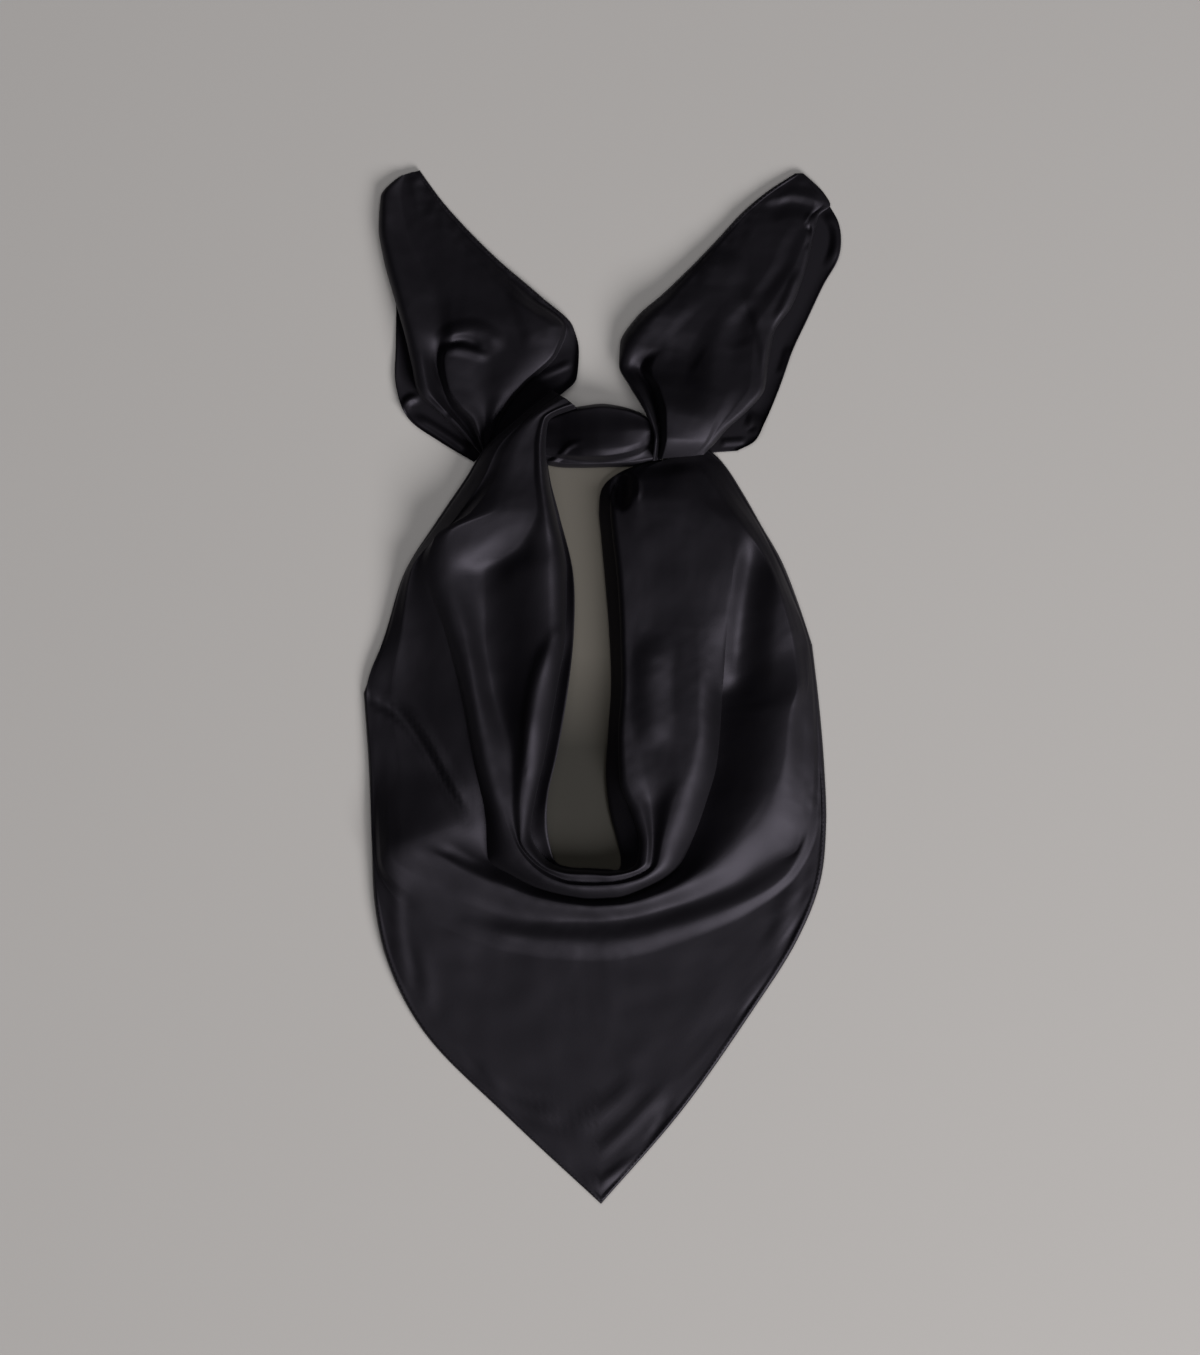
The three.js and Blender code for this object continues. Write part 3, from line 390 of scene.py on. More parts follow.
def ribbon(name, outer, inner, creases=()):
    """A closed mesh of cloth from its two faces, each a grid of points in millimetres.

    The columns of the outer face that are named as creases keep a sharp edge."""
    rows, count = outer.shape[:2]
    vertices = np.concatenate([outer, inner], axis=1).reshape(-1, 3) * MILLIMETRE
    a = (np.arange(rows)[:, None] * 2 * count + np.arange(count)).astype(int)
    b = a + count
    quads = [
        np.stack([a[:-1, :-1], a[:-1, 1:], a[1:, 1:], a[1:, :-1]], axis=-1).reshape(-1, 4),
        np.stack([b[:-1, :-1], b[1:, :-1], b[1:, 1:], b[:-1, 1:]], axis=-1).reshape(-1, 4),
        np.stack([a[:-1, 0], a[1:, 0], b[1:, 0], b[:-1, 0]], axis=-1),
        np.stack([a[:-1, -1], b[:-1, -1], b[1:, -1], a[1:, -1]], axis=-1),
        np.stack([a[0, :-1], b[0, :-1], b[0, 1:], a[0, 1:]], axis=-1),
        np.stack([a[-1, :-1], a[-1, 1:], b[-1, 1:], b[-1, :-1]], axis=-1),
    ]
    faces = np.concatenate(quads)
    corners = vertices[faces]
    spread = np.cross(corners[:, 2] - corners[:, 0], corners[:, 3] - corners[:, 1])
    if (corners.mean(axis=1) * spread).sum() < 0:
        faces = faces[:, ::-1]
    mesh = bpy.data.meshes.new(name)
    mesh.from_pydata(vertices.tolist(), [], faces.tolist())
    mesh.shade_smooth()
    creased = {row * 2 * count + column for row in range(rows) for column in creases}
    for edge in mesh.edges:
        edge.use_edge_sharp = edge.vertices[0] in creased and edge.vertices[1] in creased
    cloth = bpy.data.objects.new(name, mesh)
    bpy.context.collection.objects.link(cloth)
    return cloth


# The square is hemmed all round with a narrow turned edge, a little thicker than the cloth, and the
# cloth beside it is faintly puckered.
HEM_WIDTH = 2.4
HEM_LIFT = 0.4
HEM_STEP = 0.5
PUCKER_SIZE = 5.0
PUCKER_SEED = 8.8
PUCKER_REACH = 22.0
PUCKER_LIFT = 0.42
STITCH_INSET = 1.8


def hem_lift(x, y, inset, along):
    """What a hem adds to the cloth's height, at a distance inset from the edge."""
    turned = smooth(inset / HEM_STEP) * (1 - smooth((inset - HEM_WIDTH) / HEM_STEP))
    puckers = crinkle(x, y, PUCKER_SIZE, PUCKER_SEED) * smooth(inset / HEM_WIDTH)
    puckers = puckers * (1 - smooth(inset / PUCKER_REACH))
    return (HEM_LIFT * turned + PUCKER_LIFT * puckers) * along


def hem_line(rows):
    """The line that the stitches follow, from rows of points that start at the edge."""
    line = []
    for row in rows:
        run = np.concatenate([[0], np.linalg.norm(np.diff(row[:, :2], axis=0), axis=1).cumsum()])
        line.append([np.interp(STITCH_INSET, run, row[:, axis]) for axis in range(3)])
    return np.array(line) * MILLIMETRE


# Rows of mesh for each row that a station asks for, and the stations between which the hem shows.
ROW_DENSITY = 4
HEMMED = (9.6, 19.6)
LOWER_PLY_COLUMNS = 6

# The lower ply is whole between two stations, and narrows to a strip by the wraps.
LOWER_PLY_WHOLE = (2.4, 27.2)
LOWER_PLY_FADE = 1.2
LOWER_PLY_STRIP = 6
LOWER_PLY_SHORTFALL = 1

# How far in from the neck edge and from the outer edge the small folds reach their full height.
SETTLED = (6, 4)
NECK_INSET_SHARE = 0.03
BODY_EDGE_ROLL = 2.2
HEM_FADE = 0.6
STITCH_SHIFT = 0.3

# Gentle unevenness of the cloth: height, size and seed.
BODY_UNEVENNESS = [(0.42, 15, 1.7), (0.12, 5, 4.2)]


def front_drape():
    necks = [row["neck"] for row in BODY_STATIONS]
    outsides = [row["outside"] for row in BODY_STATIONS]
    steps = [(i, j / round(row["rows"] * ROW_DENSITY)) for i, row in enumerate(BODY_STATIONS)
             for j in range(round(row["rows"] * ROW_DENSITY))]
    steps.append((len(BODY_STATIONS) - 2, 1.0))
    s = np.array([i + t for i, t in steps])
    neck = place([on_curve(necks, i, t) for i, t in steps])
    outside = place([on_curve(outsides, i, t, BODY_CORNERS) for i, t in steps])
    foot = between(*zip(*[(at, [z]) for at, z in NECK_FOOT]), s)[:, 0]
    edge = between(*zip(*[(at, [z]) for at, z in HEM_EDGE]), s)[:, 0]

    lines = [np.concatenate([neck, foot[:, None]], axis=1)]
    lines += [traced(table, s) for *_, table in PLEATS]
    lines.append(np.concatenate([outside, edge[:, None]], axis=1))
    counts = [columns for _, columns, *_ in PLEATS] + [HEM_COLUMNS]
    kinds = [kind for _, _, kind, _ in PLEATS] + ["roll down"]
    top = surface(lines, counts, kinds, BODY_EDGE_ROLL)

    from_foot = np.linalg.norm(top[..., :2] - top[:, :1, :2], axis=-1)
    from_hem = np.linalg.norm(top[..., :2] - top[:, -1:, :2], axis=-1)
    settle = smooth(from_foot / SETTLED[0]) * smooth(from_hem / SETTLED[1])
    floor = FLOOR_PLY_TOP + PLY_GAP
    top[..., 2] += folds_height(BODY_FOLDS, top[..., 0], top[..., 1]) * settle
    for lift, size, seed in BODY_UNEVENNESS:
        top[..., 2] += lift * crinkle(top[..., 0], top[..., 1], size, seed) * settle
    hemmed = smooth((s - HEMMED[0]) / HEM_FADE) * (1 - smooth((s - HEMMED[1]) / HEM_FADE))
    top[..., 2] += hem_lift(top[..., 0], top[..., 1], from_hem, hemmed[:, None])
    top[..., 2] = np.maximum(top[..., 2], np.minimum(floor + WALL, edge[:, None]))

    under = under_of(top, floor)
    lower_top, lower_bottom = [], []
    for r in range(len(s)):
        width = np.linalg.norm(outside[r] - neck[r])
        across = (outside[r] - neck[r]) / width
        inset = min(WALL, NECK_INSET_SHARE * width)
        under[r, 0] = [*(neck[r] + across * inset), floor]
        first, last = ((s[r] - station) / LOWER_PLY_FADE for station in LOWER_PLY_WHOLE)
        whole = smooth(first) * (1 - smooth(last))
        reach = mix(min(width, LOWER_PLY_STRIP), width - LOWER_PLY_SHORTFALL, whole)
        shares = np.arange(LOWER_PLY_COLUMNS + 1) / LOWER_PLY_COLUMNS
        for row, start, height in ((lower_bottom, 0, 0), (lower_top, inset, FLOOR_PLY_TOP)):
            row.append([[*(neck[r] + across * mix(start, reach, share)), height] for share in shares])
    outer = np.concatenate([top[:, ::-1], np.array(lower_bottom)], axis=1)
    inner = np.concatenate([under[:, ::-1], np.array(lower_top)], axis=1)
    stitched = (s > HEMMED[0] + STITCH_SHIFT) & (s < HEMMED[1] + STITCH_SHIFT)
    creases = [top.shape[1] - 1 - sum(counts[:i]) for i in BODY_CREASES]
    return ribbon("body_of_the_scarf", outer, inner, creases), hem_line(top[stitched, ::-1])


# One cloth makes every piece: a filament satin, black with a faint violet cast in its sheen. Its
# face is smooth and takes broad soft lights, and the weave shows only as a very fine grain.
class Graph:
    """The nodes of one material."""

    def __init__(self, name):
        self.material = bpy.data.materials.new(name)
        self.material.use_nodes = True
        self.tree = self.material.node_tree
        self.surface = self.tree.nodes["Principled BSDF"]

    def node(self, kind, settings=(), **inputs):
        made = self.tree.nodes.new(kind)
        for key, value in dict(settings).items():
            setattr(made, key, value)
        for key, value in inputs.items():
            socket = made.inputs[int(key[1:])] if key[0] == "i" and key[1:].isdigit() else made.inputs[key]
            self.put(socket, value)
        return made

    def put(self, socket, value):
        if isinstance(value, Wire):
            value = value.socket
        if isinstance(value, bpy.types.NodeSocket):
            self.tree.links.new(value, socket)
        else:
            socket.default_value = value


class Wire:
    """A socket that Python's operators work on."""

    def __init__(self, graph, socket):
        self.graph, self.socket = graph, socket

    def maths(self, operation, first, second):
        made = self.graph.node("ShaderNodeMath", {"operation": operation}, i0=first, i1=second)
        return Wire(self.graph, made.outputs[0])

    def __add__(self, other):
        return self.maths("ADD", self, other)

    __radd__ = __add__

    def __mul__(self, other):
        return self.maths("MULTIPLY", self, other)

    __rmul__ = __mul__


SATIN_COLOUR = (0.0009, 0.0008, 0.0011, 1)
SATIN_TINT = (0.0014, 0.0012, 0.0017, 1)
SATIN_ROUGHNESS = 0.555
SATIN_SPECULAR = 0.42
SATIN_SPECULAR_TINT = (0.87, 0.81, 1, 1)
SHEEN = 0.01
SHEEN_ROUGHNESS = 0.4
SHEEN_TINT = (0.8, 0.76, 0.9, 1)
GRAIN_SIZE = 0.0009
GRAIN_DEPTH = 0.0002
GRAIN_STRENGTH = 0.25
GRAIN_SPECKLE = 0.05
MOTTLE_SIZE = 0.03
MOTTLE_SPREAD = 0.06


def satin():
    graph = Graph("black satin")
    place_at = graph.node("ShaderNodeTexCoord").outputs["Object"]
    mottle = graph.node("ShaderNodeTexNoise", Vector=place_at, Scale=1 / MOTTLE_SIZE, Detail=3.0)
    grain = graph.node("ShaderNodeTexNoise", Vector=place_at, Scale=1 / GRAIN_SIZE, Detail=4.0, Roughness=0.7)
    mixed = graph.node("ShaderNodeMix", {"data_type": "RGBA"})
    graph.put(mixed.inputs["Factor"], mottle.outputs["Fac"])
    graph.put(mixed.inputs[6], SATIN_COLOUR)
    graph.put(mixed.inputs[7], SATIN_TINT)
    graph.put(graph.surface.inputs["Base Color"], mixed.outputs[2])
    uneven = Wire(graph, mottle.outputs["Fac"]) * MOTTLE_SPREAD + (SATIN_ROUGHNESS - MOTTLE_SPREAD / 2)
    speckle = Wire(graph, grain.outputs["Fac"]) * GRAIN_SPECKLE
    graph.put(graph.surface.inputs["Roughness"], uneven + speckle)
    bump = graph.node(
        "ShaderNodeBump", Strength=GRAIN_STRENGTH, Distance=GRAIN_DEPTH, Height=grain.outputs["Fac"])
    graph.put(graph.surface.inputs["Normal"], bump.outputs["Normal"])
    graph.surface.inputs["Specular IOR Level"].default_value = SATIN_SPECULAR
    graph.surface.inputs["Specular Tint"].default_value = SATIN_SPECULAR_TINT
    graph.surface.inputs["Sheen Weight"].default_value = SHEEN
    graph.surface.inputs["Sheen Roughness"].default_value = SHEEN_ROUGHNESS
    graph.surface.inputs["Sheen Tint"].default_value = SHEEN_TINT
    return graph.material


SATIN = satin()


def dress(piece, node):
    piece.data.materials.append(SATIN)
    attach(piece, "root")
    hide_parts(node)


# A row of small stitches runs along the hem. Each is a ball of thread drawn out along the row.
STITCH_SPACING = 2.6
STITCH_STRETCH = 3.4
STITCH_SEGMENTS, STITCH_RINGS = 6, 4
THREAD_RADIUS = 0.24


def stitch_nodes():
    tree = bpy.data.node_groups.new("row of stitches", "GeometryNodeTree")
    tree.interface.new_socket("Line", in_out="INPUT", socket_type="NodeSocketGeometry")
    sockets = {
        name: tree.interface.new_socket(name, in_out="INPUT", socket_type="NodeSocketFloat").identifier
        for name in ("Spacing", "Thread radius")
    }
    tree.interface.new_socket("Stitches", in_out="OUTPUT", socket_type="NodeSocketGeometry")

    def node(kind, **inputs):
        made = tree.nodes.new(kind)
        for key, value in inputs.items():
            socket = made.inputs[key.replace("_", " ")]
            if isinstance(value, bpy.types.NodeSocket):
                tree.links.new(value, socket)
            else:
                socket.default_value = value
        return made

    given = tree.nodes.new("NodeGroupInput").outputs
    curve = node("GeometryNodeMeshToCurve", Mesh=given["Line"])
    points = node("GeometryNodeCurveToPoints", Curve=curve.outputs["Curve"])
    points.mode = "LENGTH"
    tree.links.new(given["Spacing"], points.inputs["Length"])
    ball = node("GeometryNodeMeshUVSphere", Segments=STITCH_SEGMENTS, Rings=STITCH_RINGS,
                Radius=given["Thread radius"])
    stitch = node("GeometryNodeTransform", Geometry=ball.outputs["Mesh"], Scale=(1, 1, STITCH_STRETCH))
    row = node("GeometryNodeInstanceOnPoints", Points=points.outputs["Points"],
               Instance=stitch.outputs["Geometry"], Rotation=points.outputs["Rotation"])
    whole = node("GeometryNodeRealizeInstances", Geometry=row.outputs["Instances"])
    dressed = node("GeometryNodeSetMaterial", Geometry=whole.outputs["Geometry"], Material=SATIN)
    tree.links.new(dressed.outputs["Geometry"], tree.nodes.new("NodeGroupOutput").inputs["Stitches"])
    return tree, sockets


STITCH_TREE, STITCH_SOCKETS = stitch_nodes()


def stitches(name, line, node):
    mesh = bpy.data.meshes.new("line of the " + name)
    mesh.from_pydata(line.tolist(), [(i, i + 1) for i in range(len(line) - 1)], [])
    host = bpy.data.objects.new("line of the " + name, mesh)
    bpy.context.collection.objects.link(host)
    modifier = host.modifiers.new("stitches", "NODES")
    modifier.node_group = STITCH_TREE
    modifier[STITCH_SOCKETS["Spacing"]] = STITCH_SPACING * MILLIMETRE
    modifier[STITCH_SOCKETS["Thread radius"]] = THREAD_RADIUS * MILLIMETRE
    bpy.context.view_layer.update()
    graph = bpy.context.evaluated_depsgraph_get()
    sewn = bpy.data.meshes.new_from_object(host.evaluated_get(graph), depsgraph=graph)
    bpy.data.objects.remove(host)
    sewn.shade_smooth()
    thread = bpy.data.objects.new(name, sewn)
    bpy.context.collection.objects.link(thread)
    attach(thread, "root")
    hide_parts(node)


drape, drape_hem = front_drape()
dress(drape, "front_drape")
stitches("body_stitches", drape_hem, "front_drape")


# The tails
# Each end of the triangle comes out of the knot as two plies. The upper ply is drawn like the body,
# by its crests and valleys from the tip to the knot. The lower ply lies on the surface and shows
# along one side.

# Crests and valleys of the upper plies, from the left edge to the right edge.
LEFT_TAIL = [
    ("left edge", 0, "", [
        (0, 400, 177, 2.6), (1, 381, 197, 2.6), (2, 379, 228, 2.6), (3, 384, 260, 3), (4, 395, 300, 5),
        (5, 405, 335, 7), (6, 412, 365, 8), (7, 418, 392, 8), (8, 434, 409, 7), (9, 458, 430, 6),
        (10, 481, 455, 6)]),
    ("ridge by the edge", 14, "roll up", [
        (0, 403, 176, 3.8), (1, 387, 197, 7), (2, 387, 228, 8.8), (3, 394, 260, 10.4), (4, 405, 300, 12),
        (5, 415, 335, 13), (6, 422, 363, 13), (7, 427, 389, 12.5), (8, 440, 407, 10), (9, 461, 428, 8),
        (10, 482, 454, 7)]),
    ("foot of the ridge, then the slit", 16, "ease", [
        (0, 406, 175, 3.4), (1, 402, 198, 4.3), (2, 408, 228, 5), (3, 420, 260, 6), (4, 437, 299, 7.6),
        (5, 441, 334, 9.5), (6, 437, 362, 5.5), (7, 443, 388, 4), (8, 450, 406, 4), (9, 465, 426, 5),
        (10, 483, 453, 6)]),
    ("ridge beside the slit", 12, "ease", [
        (0, 409, 174, 3.3), (1, 407, 198, 4.2), (2, 417, 227, 5), (3, 433, 260, 6.4), (4, 452, 299, 8.6),
        (5, 455, 334, 11.5), (6, 446, 362, 13), (7, 450, 389, 13), (8, 461, 406, 12.5), (9, 475, 421, 11),
        (10, 483.5, 451, 8)]),
    ("middle", 18, "ease", [
        (0, 412, 173, 3.4), (1, 417, 198, 4.4), (2, 432, 226, 5.4), (3, 456, 260, 7), (4, 481, 298, 9.5),
        (5, 493, 332, 11.5), (6, 488, 362, 11.5), (7, 481, 388, 11), (8, 485, 403, 10), (9, 486, 419, 8.5),
        (10, 485, 449, 7)]),
    ("crest above the drop", 16, "ease", [
        (0, 415, 172.5, 3.3), (1, 428, 199, 4.2), (2, 445, 225, 5.2), (3, 474, 259, 7), (4, 505, 297, 10),
        (5, 546, 329, 12.5), (6, 532, 351, 13), (7, 508, 383, 12.6), (8, 500, 401, 11.4),
        (9, 493, 418, 9.2), (10, 487, 447, 7)]),
    ("brow of the drop", 10, "ease", [
        (0, 417, 172, 3.1), (1, 434, 199.5, 3.8), (2, 453, 224.5, 4.6), (3, 485, 259, 5.6),
        (4, 521, 296, 7.5), (5, 562, 328, 9), (6, 554, 354, 11), (7, 523, 384, 11), (8, 509, 400, 10.2),
        (9, 499, 418, 8.2), (10, 489, 446, 6.5)]),
    ("foot of the drop", 10, "ease", [
        (0, 418.5, 171.5, 2.9), (1, 438, 200, 3.3), (2, 458, 224, 3.7), (3, 492, 259, 4.2),
        (4, 532, 296, 5), (5, 567, 327.5, 5), (6, 558, 354.5, 3.2), (7, 527, 385, 2.8),
        (8, 512.5, 401, 2.8), (9, 502, 418.5, 3.2), (10, 491, 445.5, 5)]),
    ("right edge", 14, "roll down", [
        (0, 420, 171, 2.6), (1, 441, 200, 2.6), (2, 462, 224, 2.6), (3, 497, 259, 2.6), (4, 540, 296, 3),
        (5, 573, 327, 4), (6, 579, 352, 6), (7, 577, 378, 7), (8, 560, 396, 7), (9, 526, 417, 6.5),
        (10, 506, 441, 6)]),
]

# Small folds on the upper plies: height, half width to the left and to the right, and path.
LEFT_TAIL_FOLDS = [
    fold("swirl, upper arc", 1.6, 7, 6, path=[(440, 350), (450, 337), (474, 331), (492, 340), (499, 356)]),
    fold("swirl, eye", -1.7, 4, 4, path=[(442, 348), (462, 342), (484, 349)]),
    fold("swirl, lower arc", 1.3, 3.5, 4.5, path=[(444, 350), (466, 352), (492, 360)]),
    fold("soft fold near the hem", 1.0, 9, 7, path=[(512, 283), (526, 320), (536, 350)]),
    fold("streak beyond the drop", 0.9, 3, 3, path=[(530, 381), (552, 372), (574, 362)]),
    fold("crease at the tip", -0.6, 5, 6, path=[(421, 180), (426, 198), (429, 218)]),
    fold("crease to the knot", -1.5, 3, 3, path=[(424, 398), (440, 412), (452, 420)]),
]

RIGHT_TAIL = [
    ("left edge", 0, "", [
        (0, 795, 174, 2.6), (1, 767, 192, 2.6), (2, 742, 213, 2.6), (3, 717, 240, 2.6), (4, 692, 266, 2.6),
        (5, 663, 294, 2.6), (6, 636, 318, 3), (7, 620, 344, 4), (8, 619, 366, 8), (9, 630, 389, 14),
        (10, 645, 415, 20), (11, 654, 440, 20), (12, 652, 462, 13.5)]),
    ("left crest", 14, "roll up", [
        (0, 796, 174, 2.8), (1, 773, 193, 4.4), (2, 749, 214, 5.6), (3, 727, 240, 7), (4, 705, 266, 9),
        (5, 680, 295, 11.5), (6, 656, 321, 14.5), (7, 638, 346, 14), (8, 628, 368, 11), (9, 637, 390, 17.5),
        (10, 649, 414, 21.5), (11, 656, 440, 21), (12, 654, 462, 13.8)]),
    ("shoulder, then the slit", 12, "ease", [
        (0, 797, 174, 2.9), (1, 780, 194, 4.5), (2, 758, 214, 5.8), (3, 738, 239, 7.2), (4, 718, 266, 9.2),
        (5, 694, 296, 11.8), (6, 672, 323, 14), (7, 651, 349, 14), (8, 640, 370, 8), (9, 650, 390, 9),
        (10, 657, 415, 11), (11, 660, 440, 12), (12, 657, 461, 10)]),
    ("ridge beside the slit", 12, "ease", [
        (0, 798, 174, 2.9), (1, 788, 194, 4.6), (2, 769, 214, 6), (3, 752, 239, 7.4), (4, 734, 267, 9.2),
        (5, 711, 298, 11.6), (6, 688, 325, 12.8), (7, 664, 350, 13.8), (8, 652, 371, 16), (9, 660, 391, 21),
        (10, 666, 416, 25), (11, 666, 440, 24.5), (12, 662, 460, 14.5)]),
    ("hollow", 16, "ease", [
        (0, 799, 174, 2.9), (1, 797, 195, 4.6), (2, 782, 214, 6), (3, 767, 238, 7.4), (4, 752, 267, 9),
        (5, 726, 300, 11.4), (6, 702, 327, 12.8), (7, 688, 353, 13.4), (8, 684, 374, 15.5),
        (9, 684, 394, 20), (10, 684, 419, 24.5), (11, 681, 441, 23.5), (12, 672, 459, 14.5)]),
    ("middle crest", 16, "ease", [
        (0, 800, 174, 2.9), (1, 806, 195.5, 4.4), (2, 796, 214, 6), (3, 782, 237, 7.4), (4, 768, 268, 9),
        (5, 743, 302, 11.8), (6, 720, 329, 13.6), (7, 714, 356, 15.6), (8, 711, 378, 18),
        (9, 706, 398, 20.8), (10, 700, 423, 23.6), (11, 695, 442, 22), (12, 683, 458, 14.4)]),
    ("dark hollow", 14, "ease", [
        (0, 801, 174, 2.8), (1, 814, 196, 4.1), (2, 809, 214, 5.8), (3, 795, 237, 7), (4, 781, 269, 8.2),
        (5, 757, 303, 11), (6, 738, 331, 12.4), (7, 734, 358, 14.4), (8, 731, 382, 16.8),
        (9, 722, 402, 19.6), (10, 711, 426, 22), (11, 704, 443, 20.4), (12, 691, 457.5, 14.2)]),
    ("right crest", 14, "ease", [
        (0, 802, 174, 2.7), (1, 820, 196.5, 3.6), (1.7, 824, 205, 3.6), (2.2, 811, 216.5, 5),
        (3, 805, 237, 7.2), (4, 793, 269.5, 9), (5, 771, 304, 11.6), (6, 754, 332, 13), (7, 751, 360, 14.6),
        (8, 749, 386, 16.2), (9, 736, 407, 17.6), (10, 719, 429, 19), (11, 709, 444, 18),
        (12, 698, 456.5, 14)]),
    ("right edge", 14, "roll down", [
        (0, 803, 174, 2.6), (1, 824, 194, 2.6), (1.7, 830, 206, 3), (2.2, 819, 216, 3.6),
        (3, 813, 238, 4.2), (4, 805, 270, 5.5), (5, 792, 306, 6), (6, 774, 333, 7), (7, 768, 362, 8),
        (8, 764, 390, 10), (9, 748, 411, 12), (10, 726, 431, 13), (11, 714, 445, 13),
        (12, 703, 456, 13.5)]),
]

RIGHT_TAIL_FOLDS = [
    fold("crescent at the tip", -1.1, 5, 9, path=[(760, 214), (790, 204), (826, 213)]),
    fold("fold above the crescent", 0.6, 6, 5, path=[(765, 202), (798, 196), (828, 207)]),
    fold("hook at the free edge", 0.8, 4, 4, path=[(802, 219), (812, 221), (817, 230), (812, 246)]),
    fold("slit in the hook", -1.6, 2.5, 2.5, path=[(806, 226), (811, 236), (806, 252)]),
    fold("soft fold across", 0.9, 9, 12, path=[(700, 262), (722, 268), (748, 262)]),
    fold("strip in the wrap", 1.6, 1.6, 1.6, path=[(632, 386), (645, 408), (652, 436), (648, 458)]),
    fold("long soft fold", 1.0, 7, 5, path=[(744, 286), (756, 318), (764, 352), (764, 384)]),
    fold("dark dip in the shoulder", -0.9, 14, 14, ends=(0.3, 0.2), path=[
        (662, 352), (685, 358), (700, 366)]),
    fold("dark dip in the middle", -0.8, 11, 12, ends=(0.3, 0.2), path=[(742, 300), (738, 328), (744, 350)]),
    fold("second layer of the free edge", 1.0, 5, 4, path=[(799, 270), (788, 298), (774, 326)]),
]

# The lower plies, by stations from the tip to the knot: both edges, their heights, the height between
# them and how far in from each edge the cloth rolls.
LEFT_PLY_STATIONS = [
    dict(left=(404, 190), right=(424, 190), edges=(1.2, 1.2), middle=1.2, rolls=(2, 2)),
    dict(left=(390, 240), right=(455, 240), edges=(1.2, 1.2), middle=1.2, rolls=(2, 2)),
    dict(left=(396, 300), right=(520, 300), edges=(1.6, 1.2), middle=1.2, rolls=(3, 2)),
    dict(left=(396, 345), right=(540, 345), edges=(2.2, 1.2), middle=1.2, rolls=(5, 2)),
    dict(left=(396, 385), right=(540, 380), edges=(3.2, 1.2), middle=1.2, rolls=(8, 2)),
    dict(left=(408, 418), right=(530, 405), edges=(4, 1.2), middle=1.2, rolls=(9, 2)),
    dict(left=(440, 442), right=(515, 425), edges=(4, 1.2), middle=1.2, rolls=(6, 2)),
    dict(left=(474, 462), right=(492, 446), edges=(3, 1.2), middle=1.2, rolls=(3, 2)),
]

RIGHT_PLY_STATIONS = [
    dict(left=(785, 195), right=(826, 200), edges=(1.2, 1.2), middle=1.2, rolls=(2, 2)),
    dict(left=(765, 225), right=(839, 226), edges=(1.2, 2.4), middle=1.2, rolls=(2, 5)),
    dict(left=(745, 255), right=(839, 256), edges=(1.2, 3), middle=1.2, rolls=(2, 8)),
    dict(left=(725, 288), right=(823, 286), edges=(1.2, 2.4), middle=1.2, rolls=(2, 6)),
    dict(left=(712, 320), right=(807, 320), edges=(1.2, 2.4), middle=1.2, rolls=(2, 6)),
    dict(left=(706, 350), right=(792, 352), edges=(1.2, 2.8), middle=1.2, rolls=(2, 8)),
    dict(left=(706, 378), right=(783, 378), edges=(1.2, 2.8), middle=1.2, rolls=(2, 8)),
    dict(left=(712, 402), right=(773, 404), edges=(1.2, 2.8), middle=1.2, rolls=(2, 8)),
    dict(left=(718, 425), right=(764, 424), edges=(1.2, 4), middle=1.6, rolls=(2, 9)),
    dict(left=(712, 440), right=(755, 441), edges=(1.6, 3.6), middle=1.8, rolls=(2, 6)),
    dict(left=(708, 453), right=(737, 451), edges=(2, 3), middle=2, rolls=(2, 5)),
]

LEFT_PLY_FOLDS = [
    fold("curl at the lower left", 2.6, 2.5, 3, crest=1.6, path=[(402, 416), (407, 402), (420, 396)]),
    fold("lower curl", 1.8, 4, 3, path=[(412, 415), (440, 432), (474, 456)]),
]

RIGHT_PLY_FOLDS = [
    fold("loop at the free edge", 2, 5, 4, path=[(822, 212), (834, 226), (836, 246), (826, 272)]),
    fold("bit of the hem, higher", 1.0, 5, 4, path=[(790, 346), (786, 362), (780, 378)]),
    fold("bit of the hem, lower", 1.4, 7, 5, path=[(744, 420), (757, 426), (754, 438)]),
    fold("strip below the wrap", 0.8, 3, 3, path=[(719, 443), (732, 442), (748, 441)]),
]

# The upper ply of each end lies just above the lower one.
OVER_PLY = FLOOR_PLY_TOP + PLY_GAP
LEAST_WALL = 0.8
TAIL_SETTLED = 4
TAIL_EDGE_ROLL = 3.0
TAIL_HEM_START = 0.4
TAIL_UNEVENNESS = [(0.3, 15, 2.3), (0.1, 6, 5.1)]

# Rows of mesh between two stations of an upper and a lower ply, and columns across a lower ply.
TAIL_ROWS_EACH = 16
LOWER_TAIL_ROWS_EACH = 12
LOWER_TAIL_COLUMNS = 60

# The station at which the hem of each end goes out of sight, and the tables' lines that are creases.
LEFT_HEM_END, RIGHT_HEM_END = 4.8, 6.4
LEFT_CREASES, RIGHT_CREASES = (2, 7), (2,)


